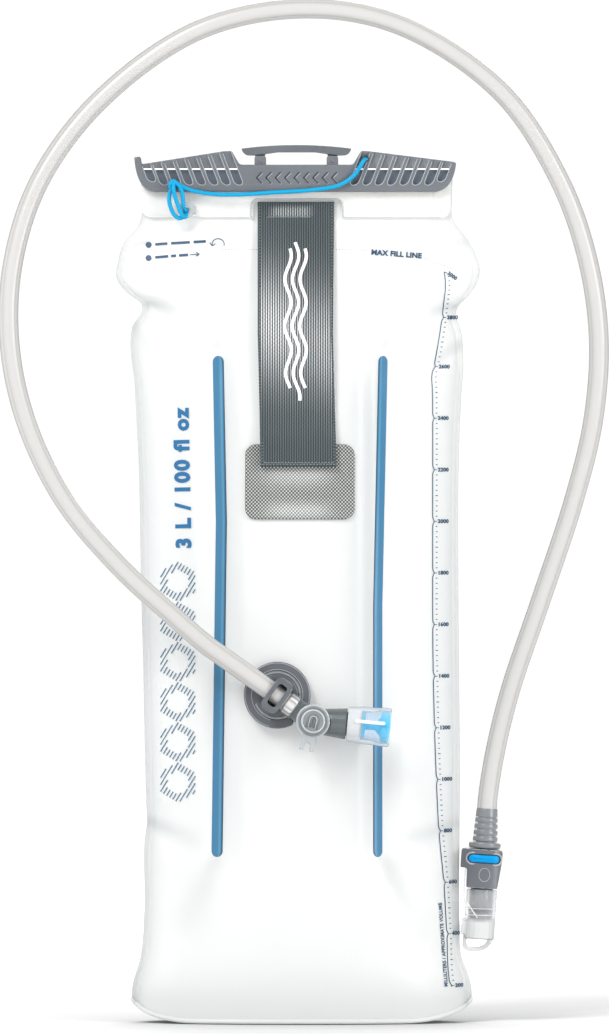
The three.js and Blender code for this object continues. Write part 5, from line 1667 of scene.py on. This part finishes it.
def build_knob_marks():
    """The raised rings of the knob and the arch moulded in its face, open towards the lever, in rings of
    painted highlight and painted shade.
    """
    ring_on_knob("knob_rim_outer", 7.6, 0.42, -7.0, KNOB_HIGHLIGHT)
    ring_on_knob("knob_rim_middle", 6.4, 0.34, -7.95, SHADED)
    ring_on_knob("knob_rim_inner", 5.3, 0.42, -8.2, KNOB_HIGHLIGHT)
    for name, half, leg, wire, material in (("knob_arch_outer", 2.4, 3.4, 0.38, SHADED),
                                            ("knob_arch_middle", 1.7, 3.4, 0.3, KNOB_HIGHLIGHT),
                                            ("knob_arch_inner", 0.7, 3.0, 0.34, SHADED)):
        arc = [(half * math.cos(a), 0.8 + half * math.sin(a)) for a in np.linspace(0, math.pi, 13)]
        shape = [(half, -leg)] + arc + [(-half, -leg)]
        track = turned([(x, -8.4, z) for x, z in shape], HUB, LEVER_ANGLE)
        mark = pipe(name, track, wire, material, sides=8)
        attach(mark, "shutoff", "clear")


def build_ferrule():
    """The clear ferrule on the tube beside the hub, and the fine dark ring before it."""
    for name, start, stop, radius, material in (("tube_ferrule", 10.6, 15.6, 5.55, FERRULE),
                                                ("tube_ferrule_ring", 10.0, 10.8, 5.7, GREY_DARK)):
        run = np.linspace(start, stop, 12)
        radii = radius - 0.25 * (np.abs(np.linspace(-1, 1, 12)) ** 8)
        ring = pipe(name, HUB + tail_axis * run[:, None], radii, material, bore=4.8, sides=36)
        attach(ring, "tube_end", "clear")


def build_sheath_rib():
    """The pale rib along the front of the sheath."""
    shape = rounded_outline(19.8, 34.3, 1.05, 2.75, 0.8, 4)
    rib = slab("sheath_rib", shape, -9.4, -8.2, FROSTED)
    move_points(rib, turned(points_of(rib), HUB, OUTLET_ANGLE))
    rounded(rib, 0.25, segments=2)
    attach(rib, "sheath", "clear_soft")


def build_hook_rim():
    """The raised rim of the hook's disc, with a line of painted highlight along its edge and along the open
    ring.
    """
    centre = HUB + tail_axis * 21
    angle = np.linspace(0, 2 * math.pi, 65)
    for name, radius, wire, y, material in (("clip_disc_rim", 10.2, 0.85, 8.0, GREY_CLIP),
                                            ("clip_disc_highlight", 10.75, 0.28, 7.25, GREY_HIGHLIGHT)):
        track = np.stack([radius * np.cos(angle), np.full(65, y), radius * np.sin(angle)], axis=1) + centre
        rim = pipe(name, track, wire, material, sides=12)
        attach(rim, "hook", "grey_plastic")
    turn = math.radians(35.5)
    arc = np.radians(np.linspace(-12, 291, 90))
    for name, radius, wire in (("clip_ring_highlight_outer", 15.3, 0.2), ("clip_ring_highlight_inner", 12.2, 0.2)):
        track = np.stack([radius * np.cos(arc), np.full(90, 6.95), radius * np.sin(arc)], axis=1)
        line = pipe(name, turned(track, centre, turn), wire, GREY_HIGHLIGHT, sides=8)
        attach(line, "hook", "grey_plastic")


build_hook_rim()
build_knob_marks()
build_ferrule()
build_sheath_rib()


# ---------------------------------------------------------------- floor, light and camera

def build_stage():
    """A plain pale floor, evenly white as far as the camera sees, with a painted shadow near the bag."""
    n = Nodes("backdrop")
    tone = n.mix(n.noise(3.0, 2.0), (0.93, 0.93, 0.93), (0.95, 0.95, 0.95))
    open_sky = n.add("ShaderNodeAmbientOcclusion", {"Distance": 0.24}).outputs["AO"]
    # Painted shadow: the floor's colour goes dark grey where the ambient occlusion finds the bag close by.
    tone = n.mix(n.math("POWER", open_sky, 1.6), (0.3, 0.3, 0.305), tone)
    seen = n.add("ShaderNodeLightPath").outputs["Is Camera Ray"]
    away = n.add("ShaderNodeVectorMath", {0: n.coordinates()}, operation="LENGTH").outputs["Value"]
    seen = n.math("MULTIPLY", seen, n.math("MULTIPLY", n.math("SUBTRACT", away, 0.3), 0.5, clamp=True))
    shader = n.add("ShaderNodeBsdfPrincipled", {
        "Base Color": tone, "Roughness": 0.8, "Specular IOR Level": 0.1, "Emission Color": tone,
        "Emission Strength": n.math("MULTIPLY", seen, 0.6),
    })
    material = n.finish(shader)
    reach = 60000
    floor = piece("floor", [(-reach, -reach, 0), (reach, -reach, 0), (reach, reach, 0), (-reach, reach, 0)],
                  [[0, 1, 2, 3]],
                  material)


def area_light(name, place, target, size, power):
    data = bpy.data.lights.new(name, "AREA")
    data.shape = "RECTANGLE"
    data.size, data.size_y = size
    data.energy = power
    lamp = add_object(name, data)
    lamp.location = place
    lamp.visible_camera = False
    lamp.rotation_euler = (Vector(target) - Vector(place)).to_track_quat("-Z", "Y").to_euler()


build_stage()
world = bpy.data.worlds.new("studio")
world.use_nodes = True
world.node_tree.nodes["Background"].inputs["Color"].default_value = (1, 1, 1, 1)
sky = world.node_tree.nodes
ray, level = sky.new("ShaderNodeLightPath"), sky.new("ShaderNodeMath")
level.operation = "MULTIPLY_ADD"
level.inputs[1].default_value, level.inputs[2].default_value = 0.55, 0.5
world.node_tree.links.new(ray.outputs["Is Camera Ray"], level.inputs[0])
world.node_tree.links.new(level.outputs[0], sky["Background"].inputs["Strength"])
bpy.context.scene.world = world
MIDDLE = (0, 0, 0.24)
area_light("key", (-1.1, -1.7, 2.0), MIDDLE, (0.8, 1.0), 48)
area_light("fill", (1.9, -1.4, 0.7), MIDDLE, (0.7, 1.6), 34)
area_light("left", (-2.1, -0.2, 0.6), MIDDLE, (1.2, 1.6), 12)
area_light("back", (0.2, 1.6, 1.2), MIDDLE, (1.2, 1.2), 13)

CAMERA_X, CAMERA_Z = 0.0024, 0.2424
FRAME_HEIGHT = 0.4963
LENS, SENSOR = 420.0, 36.0
camera_data = bpy.data.cameras.new("camera")
camera_data.lens = LENS
camera_data.sensor_width = SENSOR
camera = add_object("camera", camera_data)
camera.location = (CAMERA_X, -FRAME_HEIGHT * LENS / SENSOR, CAMERA_Z)
camera.rotation_euler = (math.radians(90), 0, 0)
bpy.context.scene.camera = camera
bpy.context.scene.view_settings.view_transform = "Standard"
